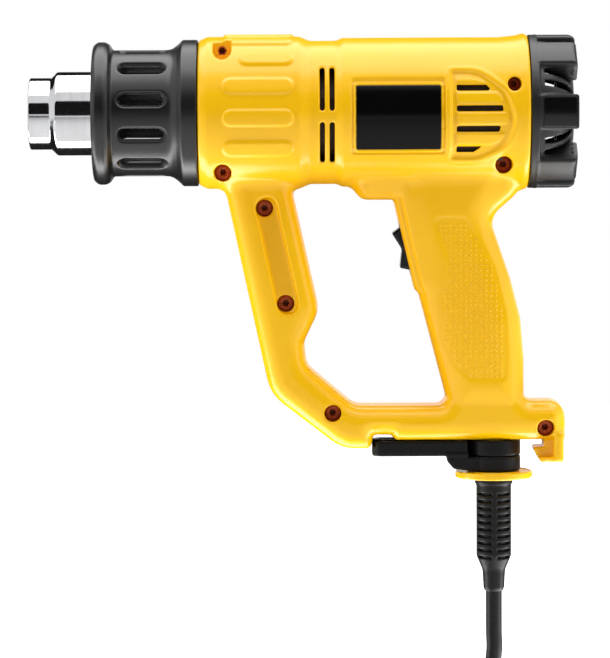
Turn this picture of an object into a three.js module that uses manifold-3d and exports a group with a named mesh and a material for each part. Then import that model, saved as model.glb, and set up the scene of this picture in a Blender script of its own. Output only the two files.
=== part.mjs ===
// Hot air tool: a two-part moulded casing with a D-shaped handle, a steel outlet with its
// slotted guard, a blower and heating element inside, a folding two-arm stand and a mains cord.
// Millimetres. The origin is the centre of the grip, +Z is up, the outlet points along -X
// and -Y is the tool's left side.

import * as THREE from 'three';
import { mergeVertices } from 'three/addons/utils/BufferGeometryUtils.js';
import Module from 'manifold-3d';

const wasm = await Module();
wasm.setup();

// General
const gap = 0.3; // clearance between pieces that rest on each other
const overshoot = 1; // how far a cutting body runs past the face it opens
const barrelSides = 28; // facets of the barrel and the pieces turned to fit it
const discSides = 24; // facets of discs, dials and middling tubes
const smallTubeSides = 16; // facets of small tubes and shafts
const recessSides = 10; // facets of the screw recesses
const pinSides = 8; // facets of screws, pins and posts
const cornerTolerance = 0.4; // how far a facet may leave a rounded corner

// Casing, along the barrel
const barrelAxisZ = 88.1;
const housingRearX = 26.8;
const rearLength = 87.8; // from the rear face to the waist
const waistLength = 14;
const collarLength = 51.4; // the thicker front part
const collarRadius = 36.5;
const waistRadius = 33.5;
const rearRadius = 34.8;
const flareRadius = 36.6;
const casingWall = 2.6;
const frontWall = 3;
const mouthTurn = 1.9; // the collar's front edge is turned in by this much
const mouthTurnLength = 4.2;
const waistFrontSlope = 4; // length of the slope down into the waist
const waistRearSlope = 2.7; // and up out of it
const flareStartSetback = 12.7; // where the rear flare starts, ahead of the rear face
const flareEndSetback = 2.4;
const rearEdgeTurn = 0.6;

// Handle frame: strut, base and grip seen from the side
const handleHalfWidth = 16;
const handleBevel = 5;
const strutSetback = 28.7; // strut's middle line behind the casing's front, level with its top
const strutTopDrop = 40.8; // that level, below the barrel's axis
const strutLean = 0.2156; // run per unit of fall
const strutWidth = 31.2;
const handleTopDrop = 22; // the handle's outlines end this far below the barrel's axis
const footTurnZ = -41; // where the strut bends into its foot
const footTurnRadius = 20;
const footFrontX = -58.3;
const footFrontRadius = 18;
const elbowZ = -30.1; // the strut's back: elbow, dimple and bump, from the foot up
const elbowInset = 11.4;
const elbowRadius = 8;
const dimpleZ = -18.8;
const dimpleInset = 9.7;
const bumpZ = -4;
const bumpRadius = 5;
const openingFrontX = -54.5; // lower front corner of the hand opening
const openingRadius = 10;
const baseTopZ = -49.1;
const baseBottomZ = -65.4;
const baseRearX = 44.2;
const baseRearRise = 2; // behind the grip the base stands this much higher
const baseRearRadius = 7.5;
const footDrop = 3.8; // the strut's foot hangs this far below the base
const footRearX = -47;
const footRearSlope = 1.6;
const notchLength = 9.4;
const notchHeight = 2.6;
const bellyFrontX = -54.1;
const bellyDrop = 40.8; // underside of the belly, below the barrel's axis
const bellyRadius = 6.3;
const panelTopX = -35.9;
const panelBottomX = -26.3;
const panelBottomZ = 5.6;
const panelStepRun = 2.1; // the small step under the switch panel
const panelStepFall = 2.2;
const gripFrontFootX = -10.3;
const gripBackFootX = 24.9;
const gripBackBendZ = -8;
const gripBackRadius = 150;
const gripWaistX = 9;
const gripWaistZ = 38.6;
const gripWaistRadius = 9;
const gripRearTopX = 22.5;
const gripRearTopRadius = 8;

// Palm swell on the grip
const palmHalfWidth = 18.3;
const palmBevel = 7;
const palmFrontInset = 4;
const palmBackInset = 1.5;
const palmTopInset = 6;
const palmFootRadius = 5;
const palmBackRadius = 120;

// Hook behind the base
const hookBottomZ = -75.7;
const hookRootRise = 4; // the hook's pieces start this far inside the base
const hookSlotTopZ = -69;
const hookPostX = 34.3;
const hookToeX = 28.8;
const hookToeSlope = 4;
const hookRimToeInset = 2.6;
const hookRimWall = 5.6;
const hookFloorWall = 2.3;
const hookWebHalfWidth = 8;

// Case screws: place, recess radius and depth of the head's seat from the middle plane
const screwShankRadius = 1.7;
const screwHeadRadius = 2.9;
const screwHeadHeight = 2.2;
const screwHeadRound = 0.6;
const screwGrip = 9; // thread length in the far boss
const switchRib = [9, 6]; // length and height of the ribs that hold each inner piece
const ductRib = [3, 18];
const capacitorRib = [6, 8];
const rectifierRib = [5, 12];
const terminalRib = [8, 6];
const strutScrewOffset = 1; // behind the strut's middle line
const recessRadius = 4;
const smallRecessRadius = 3.2;
const bossWall = 1.6;
const handleScrewSeat = 6;
const barrelScrewSeat = 11;
const ventScrewSeat = 20;
const collarScrewSetback = 11.3;
const collarScrewTop = 28.8;
const collarScrewLow = 27.6;
const strutScrewUpperZ = 43.8;
const strutScrewLowerZ = -0.7;
const baseScrewFrontX = -64.6;
const baseScrewFrontZ = -52.1;
const baseScrewRearX = 34.8;
const baseScrewRearZ = -59.5;
const rearScrewLowSetback = 11.9;
const rearScrewLow = 24.4;
const rearScrewHighSetback = 7.4;
const rearScrewHigh = 12.8;

// Air slots in the casing
const ventFrontX = -7.2;
const ventHeight = 2.6;
const ventSpacing = 9.4;
const ventTopRise = 11.1; // top slot's middle, above the barrel's axis
const ventLengths = [15.6, 21, 19.8, 11.4];
const ventEndSlant = 1.2;
const ventRoundFront = 1.2;
const ventRoundRear = 0.5;
const ventInnerHalf = 18; // the slots pass the side walls and end here
const waistSlotWidth = 2.3;
const waistSlotSpacing = 4.5;
const waistSlotSetback = 3.4; // rear column, ahead of the waist's rear end
const waistSlotLengths = [19.6, 18.4];
const waistSlotRises = [10.7, -13.5];

// Badge plates
const badgeLength = 39;
const badgeHeight = 29.5;
const badgeFrontX = -53.4;
const badgeMiddleDrop = 2.3;
const badgeThickness = 0.9;
const badgeProud = 0.2; // how far the plate stands out of its recess

// Outlet tube
const nozzleReach = 79.1; // from the casing's front face to the tip
const nozzleRadius = 19.6;
const nozzleWall = 1;
const tipRadius = 16.8;
const tipLength = 9.8;
const tipStep = 3.4;
const lipWall = 1.8; // rolled edge at the tip
const lipLength = 1.4;
const lipRound = 0.4;
const nozzleFlangeRadius = 22;
const nozzleFlangeThickness = 1.5;

// Guard
const guardLength = 48.9;
const guardWall = 2.2;
const guardBeadLength = 8.1;
const guardBeadRadius = 33.3;
const guardNeckRadius = 29.5;
const guardFlangeRadius = 34.2;
const guardFlangeLength = 8.5;
const guardFlareLength = 4;
const guardBeadRound = 1.8;
const guardBeadSlope = 1.6;
const guardMouthDepth = 3;
const guardMouthFlare = 1;
const guardBeadStep = 2;
const guardSlotCount = 11;
const guardSlotWidth = 7.6;
const guardSlotLength = 22.5;
const guardSlotSetback = 14.4; // slot's rear end, ahead of the guard's rear face

// Heating element
const sleeveWall = 0.6;
const elementDiscThickness = 3;
const coreRadius = 12.5;
const coreVaneThickness = 2.4;
const coreVanes = 6;
const coilWireThickness = 1.6;
const coilEndMargin = 3; // bare core at each end of the winding
const sleeveSetback = 2; // sleeve's front end behind the tube's cone
const rearDiscInset = 3; // rear disc ahead of the sleeve's rear end
const elementHoleRadius = 3;
const elementHoleReach = 11;
const cutoutRadius = 3.5;
const cutoutLength = 6;

// Blower
const ductWall = 1.5;
const ductFrontRadius = 20.8;
const ductFrontLength = 17;
const ductConeLength = 20;
const ductRearRadius = 27;
const ductFlareLength = 5.7;
const fanShroudLength = 15.5;
const fanShroudWall = 1.9;
const fanEyeRadius = 15;
const motorRadius = 15;
const motorLength = 36;
const motorToFan = 4;
const shaftRadius = 1.5;
const fanRadius = 26;
const fanLength = 10;
const fanHubRadius = 5;
const fanBladeCount = 9;
const fanBladeThickness = 1.2;
const fanBladeInset = 6; // blades stop short of the hub's middle and the rim, in all
const fanRunningGap = 1.6; // between the fan and the shroud's rear wall
const shroudVentGap = 1.3; // between the shroud and the casing's vents
const fanDiscThickness = 1.5;
const mountLength = 6;
const mountRingWall = 2;
const mountSpokeWidth = 2.4;
const mountSpokeTurn = 0.6; // radians from the upright
const ductRimLength = 1.7;

// End cap
const capRingRadius = 35.8;
const capRingLength = 4.1;
const capDomeRadius = 33.2;
const capDepth = 21.8; // from the casing's rear face to the feet
const capWall = 2.2;
const capHubRadius = 16;
const capLip = 2.6;
const capFootInnerRadius = 22;
const capFootWidth = 16;
const capFootAngles = [0, 52, 90, 128, 180, 232, 270, 308];
const capSlotAngles = [24, 35, 145, 156, 204, 215, 325, 336];
const capSlotWidth = 2.6;
const capSlotInnerRadius = 18;
const capSlotOuterRadius = 30.5;
const capHubSetback = 1; // the hub lies this far inside the feet
const capSlotSetback = 6;
const capWellClearance = 1;
const wellSeatDepth = 8.5; // from the hub's face to the potentiometer's end

// Heat control
const dialRadius = 12;
const dialThickness = 8;
const boardThickness = 1.6;
const controlBoardWidth = 44;
const controlBoardHeight = 32;
const boardPostSpacing = 36;
const boardPostRadius = 3;
const boardScrewRadius = 1.2;
const potRadius = 8;
const boardScrewHeadRadius = 2.4;
const boardScrewHeadHeight = 1.5;
const boardScrewGrip = 8;
const potShaftRadius = 3;
const dialLift = 0.8; // between the potentiometer and the dial
const dialChamfer = 0.8;
const dialSocketFloor = 2;

// Switch in the front of the grip
const switchLength = 25.2;
const switchWidth = 14.6;
const switchDepth = 16;
const switchFromPanelTop = 23.6;
const rockerHalfLength = 10.2;
const rockerWidth = 11.4;
const rockerTipReach = 8.3;
const rockerTipHeight = 4.2;
const rockerValley = 1.3;
const rockerPivotDepth = 3.5;
const rockerHubRadius = 3.5;
const rockerBackDepth = 2;
const rockerBackInset = 1.6;
const rockerRound = 0.5;
const pocketHalfLength = 11.3;
const switchLeadDepth = 10.5; // where the leads meet the switch, behind its face
const switchLeadDrop = 6;

// Electrical pieces in the grip
const capacitorSize = [16, 11, 18];
const capacitorPlace = [6, -15];
const rectifierSize = [boardThickness, 16, 32];
const rectifierPlace = [-1.5, 19];
const bridgeSize = [5, 9, 14];
const bridgeRise = 4; // above the board's middle
const frontChipSize = [4, 8, 6];
const frontChipPlace = [-2, -8];
const terminalSize = [20, 14, 12];
const terminalPlace = [8.5, -37];
const clampThickness = 4.3;
const clampHeight = 6;
const clampScrewReach = 9.5; // from the cord's middle to each clamp screw
const clampScrewRadius = 1.4;
const clampPostRadius = 3;
const clampBarEnd = 4; // bar past the middle of each screw
const clampHoleReach = 7;
const clampScrewTipY = 6.2;
const clampHeadRadius = 2.6;
const clampHeadHeight = 1.6;
const clampZ = -55;

// Stand
const standAxisX = 11.2;
const spigotRadius = 7.9;
const spigotBore = 6.4;
const spigotFlangeRadius = 9.6;
const spigotFlangeThickness = 2;
const standDiscRadius = 12.5;
const upperDiscThickness = 7.2;
const lowerDiscThickness = 7.1;
const armLength = 57.3;
const armWidth = 10;
const armSpacing = 0.8; // between the two folded arms
const armRootReach = 21.8;
const armTipRadius = 7;
const armTopRadius = 1.5;
const armEdge = 0.6;
const retainerRadius = 18.1;
const retainerThickness = 3.2;
const retainerEdge = 0.6;

// Cord
const cordDiameter = 7.6;
const reliefNeckRadius = 6;
const reliefFlangeRadius = 8.9;
const reliefFlangeThickness = 1.9;
const reliefRadius = 8.2;
const reliefBodyLength = 35.4;
const reliefTaperLength = 7.5;
const reliefTipRadius = 5.1;
const reliefTipLength = 8.9;
const coilTurnRadius = 57; // middle of the cord on the outermost turn
const coilPitch = 8.2; // from turn to turn, and from layer to layer
const coilTurns = 7;
const coilStepsPerTurn = 24;
const climbTurns = 0.5; // the cord climbs to the upper layer in this part of a turn
const tieTurn = 0.125; // the tie's place round the coil, from where the cord arrives
const tieWidth = 6;
const tieGap = 0.8; // the turns bend away within the tie's width
const tieThickness = 0.8;
const plugWidth = 36;
const plugRearWidth = 17;
const plugHeight = 25;
const plugLength = 34;
const plugPinRadius = 2.4;
const plugPinLength = 19;
const plugPinSpacing = 19;
const plugPinSeat = 8;
const plugShoulder = 12; // from the front face back to where the body narrows
const plugShoulderRadius = 10;
const plugCornerRadius = 3;
const plugEdge = 5;
const plugPinPoint = 1.5;
const leadRadius = 1.2;
const leadSpacing = 4.5; // each element lead, from the middle plane
const leadRise = 4; // straight up from the rectifier first
const leadBellyBends = [[-10, 1], [-22, 4.8], [-34, 6]]; // [x, height above the belly]
const leadUnderDuctX = -45;
const leadDip = 2; // before and after the straight run under the duct
const leadConeSetback = 12;
const leadConeDrop = 19.5; // where the leads pass the duct's cone, below the axis
const leadDuctBends = [[9, 12], [3, 7]]; // [from the duct's front end, drop below the axis]
const leadSeatDrop = 6.5;
const mainsLeadSpacing = 3;
const leadFacet = 9; // length of one straight facet along a lead
const cordFacet = 16;

// Route of the free cord: down from the strain relief, round to the surface and on to the coil
const cordRoute = [
  [11.2, 0, -137.8],
  [11.2, 0, -146],
  [11.2, 0, -157],
  [11.2, 0, -168],
  [8.2, 0, -183.3],
  [-0.5, 0, -196.3],
  [-13.5, 0, -205],
  [-28.8, 0, -208],
  [-35.4, 0, -208],
  [-42.1, 0, -208],
];
// Route of its last stretch: off the coil's upper layer, down to the surface and up to the plug
const tailRoute = [
  [-57.9, 0, -199.8],
  [-64, 0, -199.8],
  [-72, 0, -200.5],
  [-80, 0, -202.2],
  [-88, 0, -204.3],
  [-96, 0, -206.3],
  [-104, 0, -207.6],
  [-112, -0.1, -208],
  [-122.2, -2.4, -208],
  [-132.6, -9.4, -208],
  [-139.6, -19.8, -208],
  [-142, -32, -208],
  [-142, -40, -207.4],
  [-142, -48, -204.6],
  [-142, -56, -201],
  [-142, -62, -199.5],
  [-142, -69, -199.3],
];

// Worked-out places along the barrel
const waistRearX = housingRearX - rearLength;
const waistFrontX = waistRearX - waistLength;
const housingFrontX = waistFrontX - collarLength;
const mouthWallX = housingFrontX + frontWall;
const nozzleTipX = housingFrontX - nozzleReach;
const guardRearX = housingFrontX - gap;
const guardFrontX = guardRearX - guardLength;
const footBottomZ = baseBottomZ - footDrop;
const bellyZ = barrelAxisZ - bellyDrop;
const handleTopZ = barrelAxisZ - handleTopDrop;

// Finishes
const finishes = {
  yellow: { color: 0xf5c211, roughness: 0.45, metalness: 0 },
  black: { color: 0x1b1b1d, roughness: 0.5, metalness: 0 },
  badge: { color: 0x08080a, roughness: 0.3, metalness: 0 },
  steel: { color: 0xc9ccd0, roughness: 0.18, metalness: 1 },
  zinc: { color: 0x8d8d90, roughness: 0.4, metalness: 1 },
  darkSteel: { color: 0x5b5d61, roughness: 0.45, metalness: 1 },
  copper: { color: 0xb87333, roughness: 0.35, metalness: 1 },
  mica: { color: 0xb9a98a, roughness: 0.6, metalness: 0 },
  ceramic: { color: 0xe6e0d2, roughness: 0.8, metalness: 0 },
  board: { color: 0x2f5d3a, roughness: 0.55, metalness: 0 },
  rubber: { color: 0x171718, roughness: 0.7, metalness: 0 },
  dialGrey: { color: 0x3a3b3e, roughness: 0.5, metalness: 0 },
  red: { color: 0x9c2a22, roughness: 0.5, metalness: 0 },
};

// Turns a closed geometry into a solid that can be cut and joined
function solid(geometry) {
  const bare = geometry.clone();
  bare.deleteAttribute('normal');
  bare.deleteAttribute('uv');
  const merged = mergeVertices(bare, 1e-4);
  const points = merged.attributes.position.array;
  const corner = (i) => new THREE.Vector3(points[3 * i], points[3 * i + 1], points[3 * i + 2]);
  const faces = [];
  let volume = 0;
  for (let i = 0; i < merged.index.count; i += 3) {
    const [a, b, c] = [merged.index.array[i], merged.index.array[i + 1], merged.index.array[i + 2]];
    if (a !== b && b !== c && c !== a) {
      faces.push([a, b, c]);
      volume += corner(a).dot(corner(b).cross(corner(c)));
    }
  }
  const outward = volume < 0 ? faces.map(([a, b, c]) => [a, c, b]) : faces;
  return new wasm.Manifold(new wasm.Mesh({
    numProp: 3,
    vertProperties: new Float32Array(points),
    triVerts: new Uint32Array(outward.flat()),
  }));
}

function geometryOf(body) {
  const mesh = body.getMesh();
  const geometry = new THREE.BufferGeometry();
  geometry.setAttribute('position', new THREE.Float32BufferAttribute(mesh.vertProperties, 3));
  geometry.setIndex(Array.from(mesh.triVerts));
  geometry.computeVertexNormals();
  return geometry;
}

const joined = (bodies) => bodies.reduce((sum, body) => sum.add(body));
const cutBy = (body, cutters) => cutters.reduce((rest, cutter) => rest.subtract(cutter), body);

// A body turned about X from a profile of [x, radius] points, closed on itself or on the axis
function turned(profile, sides = barrelSides) {
  const points = profile.map(([x, radius]) => new THREE.Vector2(radius, x));
  const onAxis = profile[0][1] === 0;
  if (!onAxis) points.push(points[0].clone());
  return new THREE.LatheGeometry(points, sides).rotateZ(-Math.PI / 2);
}

// The same about Z, from [z, radius] points
function turnedUpright(profile, sides = discSides) {
  return turned(profile, sides).rotateY(-Math.PI / 2);
}

function rod(radius, from, to, sides = pinSides) {
  return turned([[from, 0], [from, radius], [to, radius], [to, 0]], sides);
}

function tube(outer, inner, from, to, sides = barrelSides) {
  return turned([[from, inner], [from, outer], [to, outer], [to, inner]], sides);
}

// A round bar along Y at a place in the side view
function crossBar(radius, x, z, from, to, sides = pinSides) {
  return rod(radius, from, to, sides).rotateZ(Math.PI / 2).translate(x, 0, z);
}

function block([x0, x1], [y0, y1], [z0, z1]) {
  const box = new THREE.BoxGeometry(x1 - x0, y1 - y0, z1 - z0);
  return box.translate((x0 + x1) / 2, (y0 + y1) / 2, (z0 + z1) / 2);
}

function blockAt([x, y, z], [length, width, height]) {
  return new THREE.BoxGeometry(length, width, height).translate(x, y, z);
}

// Moves each corner [x, y, radius] of a counter-clockwise outline inward by a distance
function inset(corners, distance) {
  const count = corners.length;
  return corners.map(([x, y, radius], i) => {
    const [px, py] = corners[(i + count - 1) % count];
    const [nx, ny] = corners[(i + 1) % count];
    const before = new THREE.Vector2(x - px, y - py).normalize();
    const after = new THREE.Vector2(nx - x, ny - y).normalize();
    const share = distance / (1 + before.dot(after));
    const turn = before.cross(after);
    const newRadius = radius === 0 ? 0 : Math.max(radius - Math.sign(turn) * distance, 0.3);
    return [x - (before.y + after.y) * share, y + (before.x + after.x) * share, newRadius];
  });
}

// Rounds the corners of an outline; the number of points comes from the unmoved outline
function rounded(corners, template = corners) {
  const count = corners.length;
  const points = [];
  corners.forEach(([x, y, radius], i) => {
    const here = new THREE.Vector2(x, y);
    const last = new THREE.Vector2(...corners[(i + count - 1) % count].slice(0, 2));
    const next = new THREE.Vector2(...corners[(i + 1) % count].slice(0, 2));
    const before = here.clone().sub(last).normalize();
    const after = next.clone().sub(here).normalize();
    const turn = Math.atan2(before.cross(after), before.dot(after));
    const room = 0.48 * Math.min(here.distanceTo(last), here.distanceTo(next));
    const run = Math.min(radius * Math.abs(Math.tan(turn / 2)), room);
    if (template[i][2] === 0 || Math.abs(turn) < 0.01) {
      points.push(here);
      return;
    }
    const facetTurn = 2 * Math.acos(1 - Math.min(cornerTolerance / template[i][2], 1));
    const steps = Math.min(4, Math.ceil(Math.abs(turn) / facetTurn));
    const fit = run / Math.abs(Math.tan(turn / 2));
    const start = here.clone().addScaledVector(before, -run);
    const side = Math.sign(turn);
    const toCentre = new THREE.Vector2(-before.y, before.x).multiplyScalar(side * fit);
    const centre = start.clone().add(toCentre);
    for (let step = 0; step <= steps; step += 1) {
      points.push(start.clone().rotateAround(centre, (turn * step) / steps));
    }
  });
  return points;
}

// A plate with rounded corners and bevelled edges, lying in XY and centred on z = 0
function plate(corners, halfThickness, bevel = 0, bevelSteps = 2) {
  const rings = [];
  const addRing = (z, distance) => {
    const moved = distance === 0 ? corners : inset(corners, distance);
    rings.push(rounded(moved, corners).map((p) => [p.x, p.y, z]));
  };
  // quarter-round edge, or a flat chamfer where there is one step
  const edge = [];
  for (let step = 0; step < bevelSteps && bevel > 0; step += 1) {
    const angle = (step * Math.PI) / 2 / bevelSteps;
    edge.push([bevel * (1 - Math.cos(angle)), bevel * (1 - Math.sin(angle))]);
  }
  edge.forEach(([depth, distance]) => addRing(depth - halfThickness, distance));
  addRing(bevel - halfThickness, 0);
  addRing(halfThickness - bevel, 0);
  edge.reverse().forEach(([depth, distance]) => addRing(halfThickness - depth, distance));
  const count = rings[0].length;
  const positions = rings.flat(2);
  const index = [];
  for (let ring = 0; ring + 1 < rings.length; ring += 1) {
    for (let i = 0; i < count; i += 1) {
      const a = ring * count + i;
      const b = ring * count + ((i + 1) % count);
      index.push(a, b, b + count, a, b + count, a + count);
    }
  }
  const top = (rings.length - 1) * count;
  const outline = (ring) => ring.map(([x, y]) => new THREE.Vector2(x, y));
  const facesOf = (ring) => THREE.ShapeUtils.triangulateShape(outline(ring), []);
  for (const [a, b, c] of facesOf(rings[0])) {
    index.push(a, c, b);
  }
  for (const [a, b, c] of facesOf(rings[rings.length - 1])) {
    index.push(top + a, top + b, top + c);
  }
  const geometry = new THREE.BufferGeometry();
  geometry.setAttribute('position', new THREE.Float32BufferAttribute(positions, 3));
  geometry.setIndex(index);
  return geometry;
}

// The same plate stood up, so that its outline lies in the side view
function sidePlate(corners, halfThickness, bevel = 0, bevelSteps = 2) {
  return plate(corners, halfThickness, bevel, bevelSteps).rotateX(Math.PI / 2);
}

// The scene graph. Pieces on the barrel's axis are drawn about X = axis in their own group.
const tool = new THREE.Group();
const barrelGroup = new THREE.Group();
barrelGroup.position.set(0, 0, barrelAxisZ);
const standGroup = new THREE.Group();
standGroup.position.set(standAxisX, 0, 0);
tool.add(barrelGroup, standGroup);

function addPiece(name, shape, finish, parent = tool) {
  const geometry = shape.isBufferGeometry ? geometryOf(solid(shape)) : geometryOf(shape);
  const mesh = new THREE.Mesh(geometry, new THREE.MeshStandardMaterial(finishes[finish]));
  mesh.name = name;
  parent.add(mesh);
  return mesh;
}

const onBarrel = (geometry) => geometry.translate(0, 0, barrelAxisZ);
const strutTopZ = barrelAxisZ - strutTopDrop;
const strutMiddle = (z) => housingFrontX + strutSetback + (strutTopZ - z) * strutLean;

// Casing outlines, counter-clockwise in the side view, each corner with its radius
function frameCorners() {
  const half = strutWidth / 2;
  const notchTopZ = baseBottomZ + notchHeight;
  const baseRearTopZ = baseTopZ + baseRearRise;
  return [
    [strutMiddle(handleTopZ) + half, handleTopZ, 0],
    [strutMiddle(handleTopZ) - half, handleTopZ, 0],
    [strutMiddle(footTurnZ) - half, footTurnZ, footTurnRadius],
    [footFrontX, footBottomZ, footFrontRadius],
    [footRearX, footBottomZ, 2.5],
    [footRearX + footRearSlope, notchTopZ, 1.5],
    [footRearX + notchLength, notchTopZ, 1.5],
    [footRearX + notchLength + notchHeight, baseBottomZ, 2],
    [baseRearX, baseBottomZ, 1],
    [baseRearX, baseRearTopZ, baseRearRadius],
    [gripBackFootX, baseRearTopZ, 4],
    [gripBackFootX, gripBackBendZ, gripBackRadius],
    [gripWaistX, gripWaistZ, gripWaistRadius],
    [gripRearTopX, barrelAxisZ - flareRadius - 1, gripRearTopRadius],
    [gripRearTopX, handleTopZ, 0],
    [bellyFrontX, handleTopZ, 0],
    [bellyFrontX, bellyZ, bellyRadius],
    [panelTopX, bellyZ, 1.5],
    [panelBottomX, panelBottomZ, 1],
    [panelBottomX + panelStepRun, panelBottomZ - panelStepFall, 1],
    [gripFrontFootX, baseTopZ, 4.4],
    [openingFrontX, baseTopZ, openingRadius],
    [strutMiddle(elbowZ) + half - elbowInset, elbowZ, elbowRadius],
    [strutMiddle(dimpleZ) + half - dimpleInset, dimpleZ, 3],
    [strutMiddle(bumpZ) + half, bumpZ, bumpRadius],
  ];
}

function palmCorners() {
  const front = palmFrontInset;
  const back = palmBackInset;
  const footZ = baseTopZ - baseRearRise;
  return [
    [panelTopX + front, handleTopZ, 0],
    [panelTopX + front, bellyZ, 0],
    [panelBottomX + front, panelBottomZ, 8],
    [gripFrontFootX + front / 2, footZ, palmFootRadius],
    [gripBackFootX - back, footZ, palmFootRadius],
    [gripBackFootX - back, gripBackBendZ, palmBackRadius],
    [gripWaistX - back, gripWaistZ, 10],
    [gripRearTopX - palmTopInset, barrelAxisZ - flareRadius, 6],
    [gripRearTopX - palmTopInset, handleTopZ, 0],
  ];
}

const hookRootZ = baseBottomZ + hookRootRise;
function hookCorners() {
  return [
    [hookPostX, hookRootZ, 0],
    [hookPostX, hookSlotTopZ, 0.6],
    [hookToeX, hookSlotTopZ, 1],
    [hookToeX + hookToeSlope, hookBottomZ, 1.2],
    [baseRearX, hookBottomZ, 1.2],
    [baseRearX, hookRootZ, 0],
  ];
}

function hookRimCorners() {
  const floorZ = hookBottomZ + hookFloorWall;
  return [
    [baseRearX - hookRimWall, hookRootZ, 0],
    [baseRearX - hookRimWall, floorZ, 1],
    [hookToeX + hookRimToeInset, floorZ, 0],
    [hookToeX + hookToeSlope, hookBottomZ, 0.8],
    [baseRearX, hookBottomZ, 1.2],
    [baseRearX, hookRootZ, 0],
  ];
}

const casingProfile = [
  [housingFrontX, collarRadius - mouthTurn],
  [housingFrontX + mouthTurnLength, collarRadius],
  [waistFrontX - waistFrontSlope, collarRadius],
  [waistFrontX, waistRadius],
  [waistRearX - waistRearSlope, waistRadius],
  [waistRearX, rearRadius],
  [housingRearX - flareStartSetback, rearRadius],
  [housingRearX - flareEndSetback, flareRadius],
  [housingRearX, flareRadius - rearEdgeTurn],
];
const casingInnerRear = flareRadius - rearEdgeTurn - casingWall;

function casingOuter() {
  const first = [casingProfile[0][0], 0];
  const last = [casingProfile[casingProfile.length - 1][0], 0];
  const barrel = solid(onBarrel(turned([first, ...casingProfile, last])));
  const hook = solid(sidePlate(hookCorners(), hookWebHalfWidth));
  const hookRim = solid(sidePlate(hookRimCorners(), handleHalfWidth - 1, 1, 1));
  const frame = solid(sidePlate(frameCorners(), handleHalfWidth, handleBevel, 1));
  const palm = solid(sidePlate(palmCorners(), palmHalfWidth, palmBevel, 1));
  return joined([barrel, frame, palm, hook, hookRim]);
}

function casingInner() {
  const bore = casingProfile.slice(1, -1).map(([x, radius]) => [x, radius - casingWall]);
  const front = mouthWallX;
  const profile = [
    [front, 0],
    [front, collarRadius - casingWall],
    ...bore.slice(1),
    [housingRearX, casingInnerRear],
    [housingRearX + overshoot, casingInnerRear],
    [housingRearX + overshoot, 0],
  ];
  const barrel = solid(onBarrel(turned(profile)));
  // the hollow's bevels are smaller than the outside's, to keep the wall's thickness there
  const frameHalf = handleHalfWidth - casingWall;
  const palmHalf = palmHalfWidth - casingWall;
  const frame = solid(sidePlate(inset(frameCorners(), casingWall), frameHalf, handleBevel - 1.5, 1));
  const palm = solid(sidePlate(inset(palmCorners(), casingWall), palmHalf, palmBevel - 2, 1));
  return joined([barrel, frame, palm]);
}

// Where each case screw sits: place in the side view, seat depth and recess radius
const collarScrewX = housingFrontX + collarScrewSetback;
const rearScrewLowX = housingRearX - rearScrewLowSetback;
const rearScrewHighX = housingRearX - rearScrewHighSetback;
const strutScrewX = (z) => strutMiddle(z) + strutScrewOffset;
const caseScrews = [
  [collarScrewX, barrelAxisZ + collarScrewTop, barrelScrewSeat, recessRadius],
  [collarScrewX, barrelAxisZ - collarScrewLow, barrelScrewSeat, recessRadius],
  [strutScrewX(strutScrewUpperZ), strutScrewUpperZ, handleScrewSeat, recessRadius],
  [strutScrewX(strutScrewLowerZ), strutScrewLowerZ, handleScrewSeat, recessRadius],
  [baseScrewFrontX, baseScrewFrontZ, handleScrewSeat, recessRadius],
  [baseScrewRearX, baseScrewRearZ, handleScrewSeat, recessRadius],
  [rearScrewLowX, barrelAxisZ - rearScrewLow, barrelScrewSeat, recessRadius],
  [rearScrewHighX, barrelAxisZ + rearScrewHigh, ventScrewSeat, smallRecessRadius],
];

// The switch sits square to the sloping panel in the front of the grip
const panelTop = new THREE.Vector3(panelTopX, 0, bellyZ);
const panelDown = new THREE.Vector3(panelBottomX, 0, panelBottomZ).sub(panelTop).normalize();
const switchCentre = panelTop.clone().addScaledVector(panelDown, switchFromPanelTop);
const switchGroup = new THREE.Group();
switchGroup.position.copy(switchCentre);
switchGroup.rotation.y = -Math.atan2(panelDown.x, -panelDown.z);
switchGroup.updateMatrix();
tool.add(switchGroup);
const atSwitch = (geometry) => geometry.applyMatrix4(switchGroup.matrix);

// Ribs that reach from both side walls to a piece inside the casing
function sideRibs([x, z], width, [length, height], reach = palmHalfWidth) {
  const near = width / 2 + gap;
  const size = [length, reach - near, height];
  return [1, -1].map((side) => blockAt([x, side * (near + reach) / 2, z], size));
}

const ductFrontX = mouthWallX + nozzleFlangeThickness + 2 * gap;

function casingRibs() {
  const switchRibs = sideRibs([switchDepth / 2, 0], switchWidth, switchRib).map(atSwitch);
  const ductRibPlace = [ductFrontX + ductFrontLength / 2, barrelAxisZ];
  return [
    ...switchRibs,
    ...sideRibs(ductRibPlace, 2 * ductFrontRadius, ductRib, collarRadius - overshoot),
    ...sideRibs(capacitorPlace, capacitorSize[1], capacitorRib),
    ...sideRibs(rectifierPlace, rectifierSize[1], rectifierRib),
    ...sideRibs(terminalPlace, terminalSize[1], terminalRib),
  ].map(solid);
}

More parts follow.
